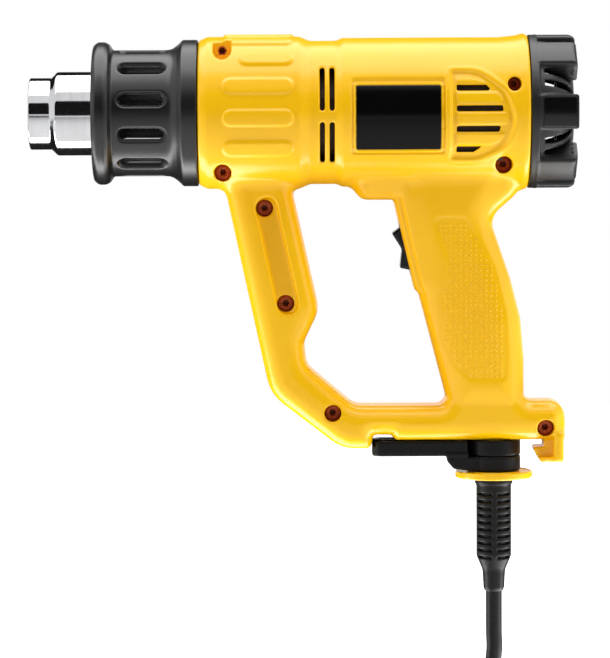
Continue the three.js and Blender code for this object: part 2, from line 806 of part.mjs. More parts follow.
function ventCutters() {
  const reach = flareRadius + overshoot;
  const cutters = ventLengths.map((length, row) => {
    const z = barrelAxisZ + ventTopRise - row * ventSpacing;
    const low = z - ventHeight / 2;
    const high = z + ventHeight / 2;
    return sidePlate([
      [ventFrontX, low, ventRoundFront],
      [ventFrontX + length, low, ventRoundRear],
      [ventFrontX + length - ventEndSlant, high, ventRoundRear],
      [ventFrontX, high, ventRoundFront],
    ], reach);
  });
  waistSlotLengths.forEach((length, row) => {
    for (const column of [0, 1]) {
      const x = waistRearX - waistSlotSetback - column * waistSlotSpacing;
      const z = barrelAxisZ + waistSlotRises[row];
      const half = waistSlotWidth / 2;
      cutters.push(sidePlate([
        [x - half, z - length / 2, half],
        [x + half, z - length / 2, half],
        [x + half, z + length / 2, half],
        [x - half, z + length / 2, half],
      ], reach));
    }
  });
  // the slots pass the side walls only, so the middle of each cutter is left out
  const middle = solid(block(
    [housingFrontX, housingRearX],
    [-ventInnerHalf, ventInnerHalf],
    [barrelAxisZ - reach, barrelAxisZ + reach],
  ));
  return cutters.map((cutter) => solid(cutter).subtract(middle));
}

// The badge is a bent plate in a shallow recess; one function draws both, on the side given
function badgeSolid(side, inner, outer, margin) {
  const rearX = badgeFrontX + badgeLength;
  const z = barrelAxisZ - badgeMiddleDrop;
  const ring = solid(onBarrel(tube(outer, inner, badgeFrontX - margin, rearX + margin)));
  const half = badgeHeight / 2 + margin;
  const reach = side * (outer + overshoot);
  const window = solid(block(
    [badgeFrontX - 2 * margin - 1, rearX + 2 * margin + 1],
    [Math.min(0, reach), Math.max(0, reach)],
    [z - half, z + half],
  ));
  return ring.intersect(window);
}

function casingShells() {
  const outer = casingOuter();
  const ribs = joined(casingRibs()).intersect(outer);
  const bosses = caseScrews.map(([x, z, , recess]) => solid(
    crossBar(recess + bossWall, x, z, -flareRadius, flareRadius),
  ).intersect(outer));
  let body = outer.subtract(casingInner()).add(ribs);
  body = joined([body, ...bosses]);
  const cutters = [
    solid(onBarrel(
      rod(nozzleRadius + gap, housingFrontX - overshoot, mouthWallX + overshoot, barrelSides),
    )),
    ...ventCutters(),
    ...[-1, 1].map((side) => badgeSolid(side, rearRadius - badgeThickness, rearRadius + overshoot, gap)),
    solid(turnedUpright([
      [baseBottomZ - overshoot, 0],
      [baseBottomZ - overshoot, spigotRadius + gap],
      [baseBottomZ + casingWall + overshoot, spigotRadius + gap],
      [baseBottomZ + casingWall + overshoot, 0],
    ]).translate(standAxisX, 0, 0)),
    solid(atSwitch(blockAt(
      [switchDepth / 2 - overshoot, 0, 0],
      [switchDepth + 2 * overshoot, switchWidth + 2 * gap, switchLength + 2 * gap],
    ))),
  ];
  const nearCutters = [];
  const farCutters = [];
  const shankHole = screwShankRadius + gap;
  caseScrews.forEach(([x, z, seat, recess]) => {
    nearCutters.push(solid(crossBar(recess, x, z, -flareRadius - overshoot, -seat, recessSides)));
    nearCutters.push(solid(crossBar(shankHole, x, z, -seat - overshoot, overshoot)));
    farCutters.push(solid(crossBar(shankHole, x, z, -overshoot, screwGrip + overshoot)));
  });
  const half = gap / 2;
  const sideReach = flareRadius + overshoot;
  const lengthwise = [housingFrontX - overshoot, baseRearX + overshoot];
  const upright = [hookBottomZ - overshoot, barrelAxisZ + sideReach];
  const nearHalf = solid(block(lengthwise, [-sideReach, -half], upright));
  const farHalf = solid(block(lengthwise, [half, sideReach], upright));
  const open = cutBy(body, cutters);
  const clampPostY = gap - cordDiameter / 2;
  const clampPosts = [-1, 1].map((side) => solid(crossBar(
    clampPostRadius, standAxisX + side * clampScrewReach, clampZ, clampPostY, handleHalfWidth - 1,
  )));
  const clampHoles = [-1, 1].map((side) => solid(crossBar(
    clampScrewRadius + gap, standAxisX + side * clampScrewReach, clampZ, -handleHalfWidth, clampHoleReach,
  )));
  const near = cutBy(open.intersect(nearHalf), nearCutters);
  const far = cutBy(joined([cutBy(open.intersect(farHalf), farCutters), ...clampPosts]), clampHoles);
  return [near, far];
}

const [nearShell, farShell] = casingShells();
addPiece('left_shell', nearShell, 'yellow');
addPiece('right_shell', farShell, 'yellow');

// Case screws: pan head down in the recess, shank into the far boss
caseScrews.forEach(([x, z, seat], i) => {
  const screw = turned([
    [-seat - screwHeadHeight - gap, 0],
    [-seat - screwHeadHeight - gap, screwHeadRadius - screwHeadRound],
    [-seat - screwHeadHeight * 0.6 - gap, screwHeadRadius],
    [-seat - gap, screwHeadRadius],
    [-seat - gap, screwShankRadius],
    [screwGrip - 1, screwShankRadius],
    [screwGrip, 0],
  ], pinSides).rotateZ(Math.PI / 2);
  const mesh = addPiece(`case_screw_${i + 1}`, screw, 'zinc');
  mesh.position.set(x, 0, z);
});

// Badges
const badge = (side) => badgeSolid(side, rearRadius - badgeThickness + gap, rearRadius + badgeProud, 0);
addPiece('right_badge', badge(1), 'badge');
addPiece('left_badge', badge(-1), 'badge');

// Guard: bead, slotted neck and rear flange; its rear wall slides on the outlet tube
function heatGuard() {
  const neckInner = guardNeckRadius - guardWall;
  const bore = nozzleRadius + gap;
  const flangeX = guardRearX - guardFlangeLength;
  const profile = [
    [guardFrontX, neckInner + guardMouthFlare],
    [guardFrontX, guardBeadRadius - guardBeadRound],
    [guardFrontX + guardBeadSlope, guardBeadRadius],
    [guardFrontX + guardBeadLength - guardBeadRound, guardBeadRadius],
    [guardFrontX + guardBeadLength, guardBeadRadius - guardBeadStep],
    [guardFrontX + guardBeadLength, guardNeckRadius],
    [flangeX - guardFlareLength, guardNeckRadius],
    [flangeX, guardFlangeRadius],
    [guardRearX, guardFlangeRadius],
    [guardRearX, bore],
    [guardRearX - guardWall, bore],
    [guardRearX - guardWall, neckInner],
    [guardFrontX + guardMouthDepth, neckInner],
  ];
  const slotRear = guardRearX - guardSlotSetback;
  const slotFront = slotRear - guardSlotLength;
  const half = guardSlotWidth / 2;
  const slots = [...Array(guardSlotCount).keys()].map((i) => solid(sidePlate([
    [slotFront, -half, half],
    [slotRear, -half, half],
    [slotRear, half, half],
    [slotFront, half, half],
  ], 4).translate(0, -guardNeckRadius + 1, 0).rotateX((2 * Math.PI * (i + 0.4)) / guardSlotCount)));
  return cutBy(solid(turned(profile, 2 * guardSlotCount)), slots);
}
addPiece('heat_guard', heatGuard(), 'black', barrelGroup);

// Outlet tube: a stepped tip with a rolled lip, and a flange caught behind the casing's front wall
const flangeFrontX = mouthWallX + gap;
const flangeRearX = flangeFrontX + nozzleFlangeThickness;
const coneRearX = nozzleTipX + tipLength + tipStep;
const outletTube = turned([
  [nozzleTipX + lipLength, tipRadius - nozzleWall],
  [nozzleTipX + lipLength, tipRadius - lipWall],
  [nozzleTipX, tipRadius - lipWall],
  [nozzleTipX, tipRadius - lipRound],
  [nozzleTipX + lipRound, tipRadius],
  [nozzleTipX + tipLength, tipRadius],
  [coneRearX, nozzleRadius],
  [flangeFrontX, nozzleRadius],
  [flangeFrontX, nozzleFlangeRadius],
  [flangeRearX, nozzleFlangeRadius],
  [flangeRearX, nozzleRadius - nozzleWall],
  [coneRearX, nozzleRadius - nozzleWall],
  [nozzleTipX + tipLength, tipRadius - nozzleWall],
]);
addPiece('outlet_nozzle', outletTube, 'steel', barrelGroup);

// Heating element inside the tube
const sleeveOuter = nozzleRadius - nozzleWall - gap;
const sleeveFrontX = coneRearX + sleeveSetback;
const sleeveRearX = flangeRearX;
const sleeve = tube(sleeveOuter, sleeveOuter - sleeveWall, sleeveFrontX, sleeveRearX);
addPiece('mica_sleeve', sleeve, 'mica', barrelGroup);
const discRadius = sleeveOuter - sleeveWall - gap;
const frontDiscRearX = sleeveFrontX + elementDiscThickness;
const rearDiscFrontX = sleeveRearX - elementDiscThickness - rearDiscInset;
const coreFrontX = frontDiscRearX + gap;
const coreRearX = rearDiscFrontX - gap;
function elementDisc(frontX) {
  const holes = [...Array(coreVanes).keys()].map((i) => {
    const angle = (2 * Math.PI * (i + 0.5)) / coreVanes;
    const rearX = frontX + elementDiscThickness;
    const hole = rod(elementHoleRadius, frontX - overshoot, rearX + overshoot, 6);
    const [y, z] = [elementHoleReach * Math.cos(angle), elementHoleReach * Math.sin(angle)];
    return solid(hole.translate(0, y, z));
  });
  return cutBy(solid(rod(discRadius, frontX, frontX + elementDiscThickness, discSides)), holes);
}
addPiece('heater_front_disc', elementDisc(sleeveFrontX), 'ceramic', barrelGroup);
addPiece('heater_rear_disc', elementDisc(rearDiscFrontX), 'ceramic', barrelGroup);
const halfVane = coreVaneThickness / 2;
const vanes = [...Array(coreVanes / 2).keys()].map((i) => solid(
  block([coreFrontX, coreRearX], [-coreRadius, coreRadius], [-halfVane, halfVane])
    .rotateX((Math.PI * i * 2) / coreVanes),
));
addPiece('heater_core', joined(vanes), 'ceramic', barrelGroup);
const windingInner = coreRadius + gap;
const windingOuter = windingInner + coilWireThickness;
const windingFrontX = coreFrontX + coilEndMargin;
const windingRearX = coreRearX - coilEndMargin;
const winding = tube(windingOuter, windingInner, windingFrontX, windingRearX, discSides);
addPiece('heater_coil', winding, 'copper', barrelGroup);
const cutoutFrontX = rearDiscFrontX + elementDiscThickness + gap;
const cutout = rod(cutoutRadius, cutoutFrontX, cutoutFrontX + cutoutLength);
addPiece('thermal_cutout', cutout, 'steel', barrelGroup);

// Leads run from the rectifier to the element, under the duct and in through its cone
function tubeAlong(route, radius, sides, facetLength) {
  const curve = new THREE.CatmullRomCurve3(route.map((p) => new THREE.Vector3(...p)));
  const section = new THREE.Shape();
  section.absarc(0, 0, radius, 0, 2 * Math.PI);
  return new THREE.ExtrudeGeometry(section, {
    steps: Math.ceil(curve.getLength() / facetLength),
    extrudePath: curve,
    curveSegments: sides / 2,
    bevelEnabled: false,
  });
}
const lead = (route, clearance = 0) => tubeAlong(route, leadRadius + clearance, 6, leadFacet);
const elementRearX = rearDiscFrontX + elementDiscThickness + gap;
const ductUnderZ = barrelAxisZ - ductRearRadius - gap - leadRadius - 0.3;
const rectifierTop = rectifierPlace[1] + rectifierSize[2] / 2 + gap;
const elementLeadRoute = (y) => [
  [rectifierPlace[0], y, rectifierTop],
  [rectifierPlace[0], y, rectifierTop + leadRise],
  ...leadBellyBends.map(([x, rise]) => [x, y, bellyZ + rise]),
  [leadUnderDuctX, y, ductUnderZ - leadDip],
  [waistRearX + waistFrontSlope, y, ductUnderZ],
  [waistFrontX - waistFrontSlope, y, ductUnderZ],
  [ductFrontX + ductFrontLength + leadConeSetback, y, ductUnderZ + leadDip],
  [ductFrontX + ductFrontLength, y, barrelAxisZ - leadConeDrop],
  ...leadDuctBends.map(([setback, drop]) => [ductFrontX + setback, y, barrelAxisZ - drop]),
  [elementRearX, y, barrelAxisZ - leadSeatDrop],
];
addPiece('element_lead_1', lead(elementLeadRoute(-leadSpacing)), 'red');
addPiece('element_lead_2', lead(elementLeadRoute(leadSpacing)), 'black');

// Duct, motor and fan
const fanShroudRearX = ventFrontX - shroudVentGap;
const fanShroudFrontX = fanShroudRearX - fanShroudLength;
const ductRearX = fanShroudFrontX - gap;
const boreRadius = rearRadius - casingWall;
const fanRearX = fanShroudRearX - fanShroudWall - fanRunningGap;
const fanFrontX = fanRearX - fanLength;
const motorRearX = fanFrontX - motorToFan;
const motorFrontX = motorRearX - motorLength;
function airDuct() {
  const coneX = ductFrontX + ductFrontLength;
  const straightX = coneX + ductConeLength;
  const flareX = ductRearX - ductFlareLength;
  const rimX = ductRearX - ductRimLength;
  const rimRadius = boreRadius - gap;
  const body = solid(turned([
    [ductFrontX, sleeveOuter - 1],
    [ductFrontX, ductFrontRadius],
    [coneX, ductFrontRadius],
    [straightX, ductRearRadius],
    [flareX, ductRearRadius],
    [rimX, rimRadius],
    [ductRearX, rimRadius],
    [ductRearX, rimRadius - ductWall],
    [rimX, rimRadius - ductWall],
    [flareX, ductRearRadius - ductWall],
    [straightX, ductRearRadius - ductWall],
    [coneX, ductFrontRadius - ductWall],
    [ductFrontX + ductWall, ductFrontRadius - ductWall],
    [ductFrontX + ductWall, sleeveOuter - 1],
  ], discSides));
  const leadHoles = [-leadSpacing, leadSpacing].map((y) => solid(
    lead(elementLeadRoute(y), gap).translate(0, 0, -barrelAxisZ),
  ));
  return cutBy(body, leadHoles);
}
addPiece('air_duct', airDuct(), 'mica', barrelGroup);
addPiece('fan_shroud', turned([
  [fanShroudFrontX, boreRadius - gap],
  [fanShroudRearX, boreRadius - gap],
  [fanShroudRearX, fanEyeRadius],
  [fanShroudRearX - fanShroudWall, fanEyeRadius],
  [fanShroudRearX - fanShroudWall, boreRadius - gap - fanShroudWall],
  [fanShroudFrontX, boreRadius - gap - fanShroudWall],
], discSides), 'black', barrelGroup);
const motorCase = tube(motorRadius, shaftRadius + gap, motorFrontX, motorRearX, discSides);
addPiece('motor_case', motorCase, 'darkSteel', barrelGroup);
addPiece('motor_shaft', rod(shaftRadius, motorFrontX - 2, fanRearX + 2), 'steel', barrelGroup);
function fanImpeller() {
  const hub = solid(rod(fanHubRadius, fanFrontX, fanRearX, pinSides));
  const disc = solid(rod(fanRadius, fanFrontX, fanFrontX + fanDiscThickness, discSides));
  const bladePlace = [(fanFrontX + fanRearX) / 2, fanRadius / 2, 0];
  const bladeSize = [fanLength - 0.2, fanRadius - fanBladeInset, fanBladeThickness];
  const blades = [...Array(fanBladeCount).keys()].map((i) => solid(
    blockAt(bladePlace, bladeSize).rotateX((2 * Math.PI * i) / fanBladeCount),
  ));
  const bore = solid(rod(shaftRadius + gap, fanFrontX - overshoot, fanRearX + overshoot));
  return joined([hub, disc, ...blades]).subtract(bore);
}
addPiece('fan_impeller', fanImpeller(), 'black', barrelGroup);
function motorMount() {
  const middle = (motorFrontX + motorRearX) / 2;
  const from = middle - mountLength / 2;
  const to = middle + mountLength / 2;
  const outer = ductRearRadius - ductWall - gap;
  const inner = motorRadius + gap;
  const spokePlace = [middle, (inner + outer) / 2, 0];
  const spokeSize = [mountLength, outer - inner - 1, mountSpokeWidth];
  const spokes = [0, 1, 2, 3].map((i) => solid(
    blockAt(spokePlace, spokeSize).rotateX((Math.PI * i) / 2 + mountSpokeTurn),
  ));
  return joined([
    solid(tube(outer, outer - mountRingWall, from, to, smallTubeSides)),
    solid(tube(inner + mountRingWall, inner, from, to, discSides)),
    ...spokes,
  ]);
}
addPiece('motor_mount', motorMount(), 'black', barrelGroup);

// End cap: rim, domed grille, feet for standing the tool on its back, and a well for the dial
const capFrontX = housingRearX + gap;
const capDomeX = capFrontX + capRingLength;
const capFeetX = capFrontX + capDepth;
const capHubX = capFeetX - capHubSetback;
const capWell = dialRadius + capWellClearance;
const potRearX = capHubX - wellSeatDepth;
const boardFrontX = capDomeX + gap;
const boardRearX = boardFrontX + boardThickness;
function endCap() {
  const lipRadius = casingInnerRear - gap;
  const dome = (baseRadius, hubRadius, depth, steps) => [...Array(steps + 1).keys()].map((i) => {
    const angle = (i * Math.PI) / 2 / steps;
    const radius = hubRadius + (baseRadius - hubRadius) * Math.cos(angle);
    return [capDomeX + depth * Math.sin(angle), radius];
  });
  const outer = solid(turned([
    [housingRearX - capLip, 0],
    [housingRearX - capLip, lipRadius],
    [capFrontX, lipRadius],
    [capFrontX, capRingRadius],
    [capDomeX, capRingRadius],
    ...dome(capDomeRadius, capHubRadius, capHubX - capDomeX, 3),
    [capHubX, 0],
  ]));
  const inner = solid(turned([
    [housingRearX - capLip - overshoot, 0],
    [housingRearX - capLip - overshoot, lipRadius - capWall],
    ...dome(lipRadius - capWall, capWell + capWall, capHubX - capWall - capDomeX, 2),
    [capHubX - capWall, 0],
  ], discSides));
  const rim = solid(rod(capRingRadius, capFrontX, capFeetX, barrelSides));
  const feet = capFootAngles.map((angle) => {
    const outside = capRingRadius + overshoot;
    const place = [(capDomeX + capFeetX) / 2 - 1, -(capFootInnerRadius + outside) / 2, 0];
    const foot = blockAt(place, [capFeetX - capDomeX + 2, outside - capFootInnerRadius, capFootWidth]);
    return solid(foot.rotateX((-angle * Math.PI) / 180)).intersect(rim);
  });
  const slots = capSlotAngles.map((angle) => {
    const reach = (capSlotInnerRadius + capSlotOuterRadius) / 2;
    const size = [capFeetX - capDomeX, capSlotOuterRadius - capSlotInnerRadius, capSlotWidth];
    const slot = blockAt([capFeetX - capSlotSetback, -reach, 0], size);
    return solid(slot.rotateX((-angle * Math.PI) / 180));
  });
  const well = solid(tube(capWell + capWall, capWell, potRearX + 1, capHubX - 0.5, discSides));
  const posts = [-1, 1].map((side) => solid(
    rod(boardPostRadius, boardRearX + gap, capHubX - 1.5).translate(0, (side * boardPostSpacing) / 2, 0),
  ));
  const screwHoles = [-1, 1].map((side) => solid(
    rod(boardScrewRadius + gap, boardRearX, boardRearX + boardScrewGrip + 1)
      .translate(0, (side * boardPostSpacing) / 2, 0),
  ));
  const hollow = joined([outer, ...feet]).subtract(inner);
  const dialHole = solid(rod(capWell, potRearX + 1, capHubX + overshoot, discSides));
  return cutBy(joined([hollow.subtract(dialHole), well, ...posts]), [...slots, ...screwHoles]);
}
addPiece('end_cap', endCap(), 'black', barrelGroup);

const boardHoles = [-1, 1].map((side) => solid(
  rod(boardScrewRadius + gap, boardFrontX - overshoot, boardRearX + overshoot)
    .translate(0, (side * boardPostSpacing) / 2, 0),
));
const controlBoard = solid(block([boardFrontX, boardRearX],
  [-controlBoardWidth / 2, controlBoardWidth / 2], [-controlBoardHeight / 2, controlBoardHeight / 2]));
addPiece('control_board', cutBy(controlBoard, boardHoles), 'board', barrelGroup);
[-1, 1].forEach((side, i) => {
  const screw = addPiece(`board_screw_${i + 1}`, turned([
    [boardFrontX - gap - boardScrewHeadHeight, 0],
    [boardFrontX - gap - boardScrewHeadHeight, boardScrewHeadRadius - 0.4],
    [boardFrontX - gap, boardScrewHeadRadius],
    [boardFrontX - gap, boardScrewRadius],
    [boardRearX + boardScrewGrip, boardScrewRadius],
    [boardRearX + boardScrewGrip + screwHeadRound, 0],
  ], pinSides), 'zinc', barrelGroup);
  screw.position.y = (side * boardPostSpacing) / 2;
});
const potFrontX = boardRearX + gap;
addPiece('dial_potentiometer', tube(
  potRadius, potShaftRadius + gap, potFrontX, potRearX, smallTubeSides,
), 'darkSteel', barrelGroup);
const dialFrontX = potRearX + dialLift;
const dialRearX = dialFrontX + dialThickness;
const dialShaftRearX = dialRearX - dialSocketFloor;
const dialShaft = rod(potShaftRadius, potFrontX, dialShaftRearX, smallTubeSides);
addPiece('dial_shaft', dialShaft, 'steel', barrelGroup);
addPiece('temperature_dial', turned([
  [dialFrontX, potShaftRadius + gap],
  [dialFrontX, dialRadius],
  [dialRearX - dialChamfer, dialRadius],
  [dialRearX, dialRadius - dialChamfer],
  [dialRearX, 0],
  [dialShaftRearX + gap, 0],
  [dialShaftRearX + gap, potShaftRadius + gap],
], discSides), 'dialGrey', barrelGroup);

// Switch: a body with an open pocket, and the V-shaped rocker on its saddle
function switchBody() {
  const body = solid(blockAt([switchDepth / 2, 0, 0], [switchDepth, switchWidth, switchLength]));
  const floorX = rockerPivotDepth + rockerHubRadius + gap;
  const pocketHalfWidth = rockerWidth / 2 + gap;
  const pocket = solid(block(
    [-overshoot, floorX],
    [-pocketHalfWidth, pocketHalfWidth],
    [-pocketHalfLength, pocketHalfLength],
  ));
  return body.subtract(pocket);
}
addPiece('switch_body', switchBody(), 'black', switchGroup);
function switchRocker() {
  const wings = sidePlate([
    [rockerBackDepth, -rockerHalfLength + rockerBackInset, 0],
    [rockerBackDepth, rockerHalfLength - rockerBackInset, 0],
    [0, rockerHalfLength, rockerRound],
    [-rockerTipHeight, rockerTipReach, rockerRound],
    [-rockerValley, 0, 0],
    [-rockerTipHeight, -rockerTipReach, rockerRound],
    [0, -rockerHalfLength, rockerRound],
  ], rockerWidth / 2, rockerRound, 1);
  const hubHalf = rockerWidth / 2 - rockerRound;
  const hub = crossBar(rockerHubRadius, rockerPivotDepth, 0, -hubHalf, hubHalf, smallTubeSides);
  return joined([solid(wings), solid(hub)]);
}
addPiece('switch_rocker', switchRocker(), 'black', switchGroup);

// Electrical pieces held between ribs in the grip
const inGrip = ([x, z], size) => blockAt([x, 0, z], size);
addPiece('suppression_capacitor', inGrip(capacitorPlace, capacitorSize), 'dialGrey');
const [rectifierX, rectifierZ] = rectifierPlace;
const rectifier = joined([
  inGrip(rectifierPlace, rectifierSize),
  inGrip([rectifierX + bridgeSize[0] / 2, rectifierZ + bridgeRise], bridgeSize),
  inGrip([rectifierX + frontChipPlace[0], rectifierZ + frontChipPlace[1]], frontChipSize),
].map(solid));
addPiece('rectifier_board', rectifier, 'board');
addPiece('terminal_block', inGrip(terminalPlace, terminalSize), 'ceramic');

// Mains leads from the terminal block to the switch's lower end
const terminalTop = terminalPlace[1] + terminalSize[2] / 2 + gap;
const belowSwitch = (fall) => new THREE.Vector3(switchLeadDepth, 0, -switchLength / 2 - fall)
  .applyMatrix4(switchGroup.matrix);
const switchEnd = belowSwitch(gap);
const switchEndBack = belowSwitch(switchLeadDrop);
const terminalFrontX = terminalPlace[0] - terminalSize[0] / 2;
const capacitorFrontX = capacitorPlace[0] - capacitorSize[0] / 2;
const capacitorBottomZ = capacitorPlace[1] - capacitorSize[2] / 2;
const mainsLeadRoute = (y) => [
  [terminalFrontX + 2, y, terminalTop + gap],
  [terminalFrontX + 1.4, y, terminalTop + 3],
  [capacitorFrontX - 4.5, y, capacitorBottomZ + 3],
  [capacitorFrontX - 6.5, y, capacitorPlace[1] + 3],
  [switchEndBack.x, y, switchEndBack.z],
  [switchEnd.x, y, switchEnd.z],
];
addPiece('mains_lead_1', lead(mainsLeadRoute(-mainsLeadSpacing)), 'red');
addPiece('mains_lead_2', lead(mainsLeadRoute(mainsLeadSpacing)), 'black');

// Cord anchorage: a bar that two screws pull against the cord
const clampBarY = -cordDiameter / 2 - gap;
const clampBar = block(
  [-clampScrewReach - clampBarEnd, clampScrewReach + clampBarEnd],
  [clampBarY - clampThickness, clampBarY],
  [clampZ - clampHeight / 2, clampZ + clampHeight / 2],
);
const clampBarHoles = [-1, 1].map((side) => solid(crossBar(
  clampScrewRadius + gap, side * clampScrewReach, clampZ, -handleHalfWidth, 0,
)));
addPiece('cord_clamp', cutBy(solid(clampBar), clampBarHoles), 'dialGrey', standGroup);
[-1, 1].forEach((side, i) => {
  const headFrom = -cordDiameter / 2 - clampThickness - 2 * gap;
  const screw = addPiece(`clamp_screw_${i + 1}`, turned([
    [headFrom - clampHeadHeight, 0],
    [headFrom - clampHeadHeight, clampHeadRadius - 0.4],
    [headFrom, clampHeadRadius],
    [headFrom, clampScrewRadius],
    [clampScrewTipY - screwHeadRound, clampScrewRadius],
    [clampScrewTipY, 0],
  ], pinSides).rotateZ(Math.PI / 2), 'zinc', standGroup);
  screw.position.set(side * clampScrewReach, 0, clampZ);
});
const innerCordTopZ = terminalPlace[1] - terminalSize[2] / 2 - gap;
addPiece('inner_cord', turnedUpright([
  [baseBottomZ, 0],
  [baseBottomZ, cordDiameter / 2],
  [innerCordTopZ, cordDiameter / 2],
  [innerCordTopZ, 0],
], smallTubeSides), 'rubber', standGroup);

// Stand: a hollow spigot through the base, two arms that turn on it and a disc that keeps them on
const upperDiscTopZ = baseBottomZ - gap;
const upperDiscBottomZ = upperDiscTopZ - upperDiscThickness;
const lowerDiscTopZ = upperDiscBottomZ - gap;
const lowerDiscBottomZ = lowerDiscTopZ - lowerDiscThickness;
const retainerTopZ = lowerDiscBottomZ - gap;
const retainerBottomZ = retainerTopZ - retainerThickness;
const spigotFlangeZ = baseBottomZ + casingWall + gap;
addPiece('stand_pivot', turnedUpright([
  [retainerTopZ + gap, spigotBore],
  [retainerTopZ + gap, spigotRadius],
  [spigotFlangeZ, spigotRadius],
  [spigotFlangeZ, spigotFlangeRadius],
  [spigotFlangeZ + spigotFlangeThickness, spigotFlangeRadius],
  [spigotFlangeZ + spigotFlangeThickness, spigotBore],
]), 'yellow', standGroup);
const armBore = solid(turnedUpright([
  [lowerDiscBottomZ - overshoot, 0],
  [lowerDiscBottomZ - overshoot, spigotRadius + gap],
  [upperDiscTopZ + overshoot, spigotRadius + gap],
  [upperDiscTopZ + overshoot, 0],
]));
const disc = (top, bottom) => solid(turnedUpright([
  [bottom, 0], [bottom, standDiscRadius], [top, standDiscRadius], [top, 0],
]));
const levelPlate = (corners, top, bottom) => plate(corners, (top - bottom) / 2, armEdge, 1)
  .translate(0, 0, (top + bottom) / 2);
function armCorners(side, from) {
  const nearY = (side * armSpacing) / 2;
  const farY = nearY + side * armWidth;
  const corners = [
    [-armLength, nearY, armTopRadius],
    [-from, nearY, 0],
    [-from, farY, 0],
    [-armLength, farY, armTipRadius],
  ];
  return side > 0 ? corners : corners.reverse();
}
const rightArm = joined([
  disc(upperDiscTopZ, upperDiscBottomZ),
  solid(levelPlate(armCorners(1, standDiscRadius - 8), upperDiscTopZ, upperDiscBottomZ)),
]).subtract(armBore);
const rootFrom = standDiscRadius + gap;
const leftBar = solid(levelPlate(armCorners(-1, rootFrom), upperDiscTopZ, upperDiscBottomZ));
const leftRoot = solid(sidePlate([
  [-armRootReach - 1.2, upperDiscBottomZ + 1, 0],
  [-armRootReach + 2, lowerDiscBottomZ + 1.4, 2],
  [-rootFrom + 5, lowerDiscBottomZ, 0],
  [-rootFrom + 5, lowerDiscTopZ, 0],
  [-rootFrom, lowerDiscTopZ, 0],
  [-rootFrom, upperDiscBottomZ + 1, 0],
], armWidth / 2).translate(0, -(armSpacing + armWidth) / 2, 0));
const leftArm = joined([disc(lowerDiscTopZ, lowerDiscBottomZ), leftBar, leftRoot]).subtract(armBore);
addPiece('right_support_arm', rightArm, 'black', standGroup);
addPiece('left_support_arm', leftArm, 'black', standGroup);
addPiece('retaining_disc', turnedUpright([
  [retainerBottomZ, spigotBore],
  [retainerBottomZ, retainerRadius - retainerEdge],
  [retainerBottomZ + retainerEdge, retainerRadius],
  [retainerTopZ - retainerEdge, retainerRadius],
  [retainerTopZ, retainerRadius - retainerEdge],
  [retainerTopZ, spigotBore],
]), 'yellow', standGroup);

// Strain relief
const reliefFlangeZ = retainerBottomZ - gap;
const reliefBodyZ = reliefFlangeZ - reliefFlangeThickness;
const reliefTaperZ = reliefBodyZ - reliefBodyLength;
const reliefTipZ = reliefTaperZ - reliefTaperLength;
const reliefEndZ = reliefTipZ - reliefTipLength;
addPiece('strain_relief', turnedUpright([
  [reliefEndZ, 0],
  [reliefEndZ, reliefTipRadius - 0.6],
  [reliefTipZ, reliefTipRadius],
  [reliefTaperZ, reliefRadius],
  [reliefBodyZ, reliefRadius],
  [reliefBodyZ, reliefFlangeRadius],
  [reliefFlangeZ, reliefFlangeRadius],
  [reliefFlangeZ, reliefNeckRadius],
  [baseBottomZ - gap, reliefNeckRadius],
  [baseBottomZ - gap, 0],
], 20), 'rubber', standGroup);

// Cord: a tube along each free route
const cordTube = (route) => tubeAlong(route, cordDiameter / 2, 8, cordFacet);
addPiece('power_cord', cordTube(cordRoute), 'rubber');
addPiece('cord_tail', cordTube(tailRoute), 'rubber');

// The coil: the cord arrives along -X, spirals in on the lower layer, climbs while the spiral
// turns back, spirals out on the upper layer and leaves along -X above the place where it came in
const [arriveX, arriveY, arriveZ] = cordRoute[cordRoute.length - 1];
const coilStart = new THREE.Vector3(arriveX - gap, arriveY, arriveZ);
const coilCentre = coilStart.clone().add(new THREE.Vector3(-cordDiameter, -coilTurnRadius, 0));
const coilRadiusAt = (turn) => coilTurnRadius - coilPitch * Math.min(turn, coilTurns - turn);
function coilPoint(turn) {
  const angle = 2 * Math.PI * (turn + 0.25);
  const climbed = THREE.MathUtils.clamp((turn - (coilTurns - climbTurns) / 2) / climbTurns, 0, 1);
  return new THREE.Vector3(
    coilRadiusAt(turn) * Math.cos(angle),
    coilRadiusAt(turn) * Math.sin(angle),
    (coilPitch * (1 - Math.cos(Math.PI * climbed))) / 2,
  ).add(coilCentre);
}
function coilMiddleLine() {
  const stepCount = coilTurns * coilStepsPerTurn;
  const points = [...Array(stepCount + 1).keys()].map((step) => coilPoint(step / coilStepsPerTurn));
  const last = points[stepCount].clone();
  return [coilStart, ...points, last.setX(last.x - cordDiameter)];
}
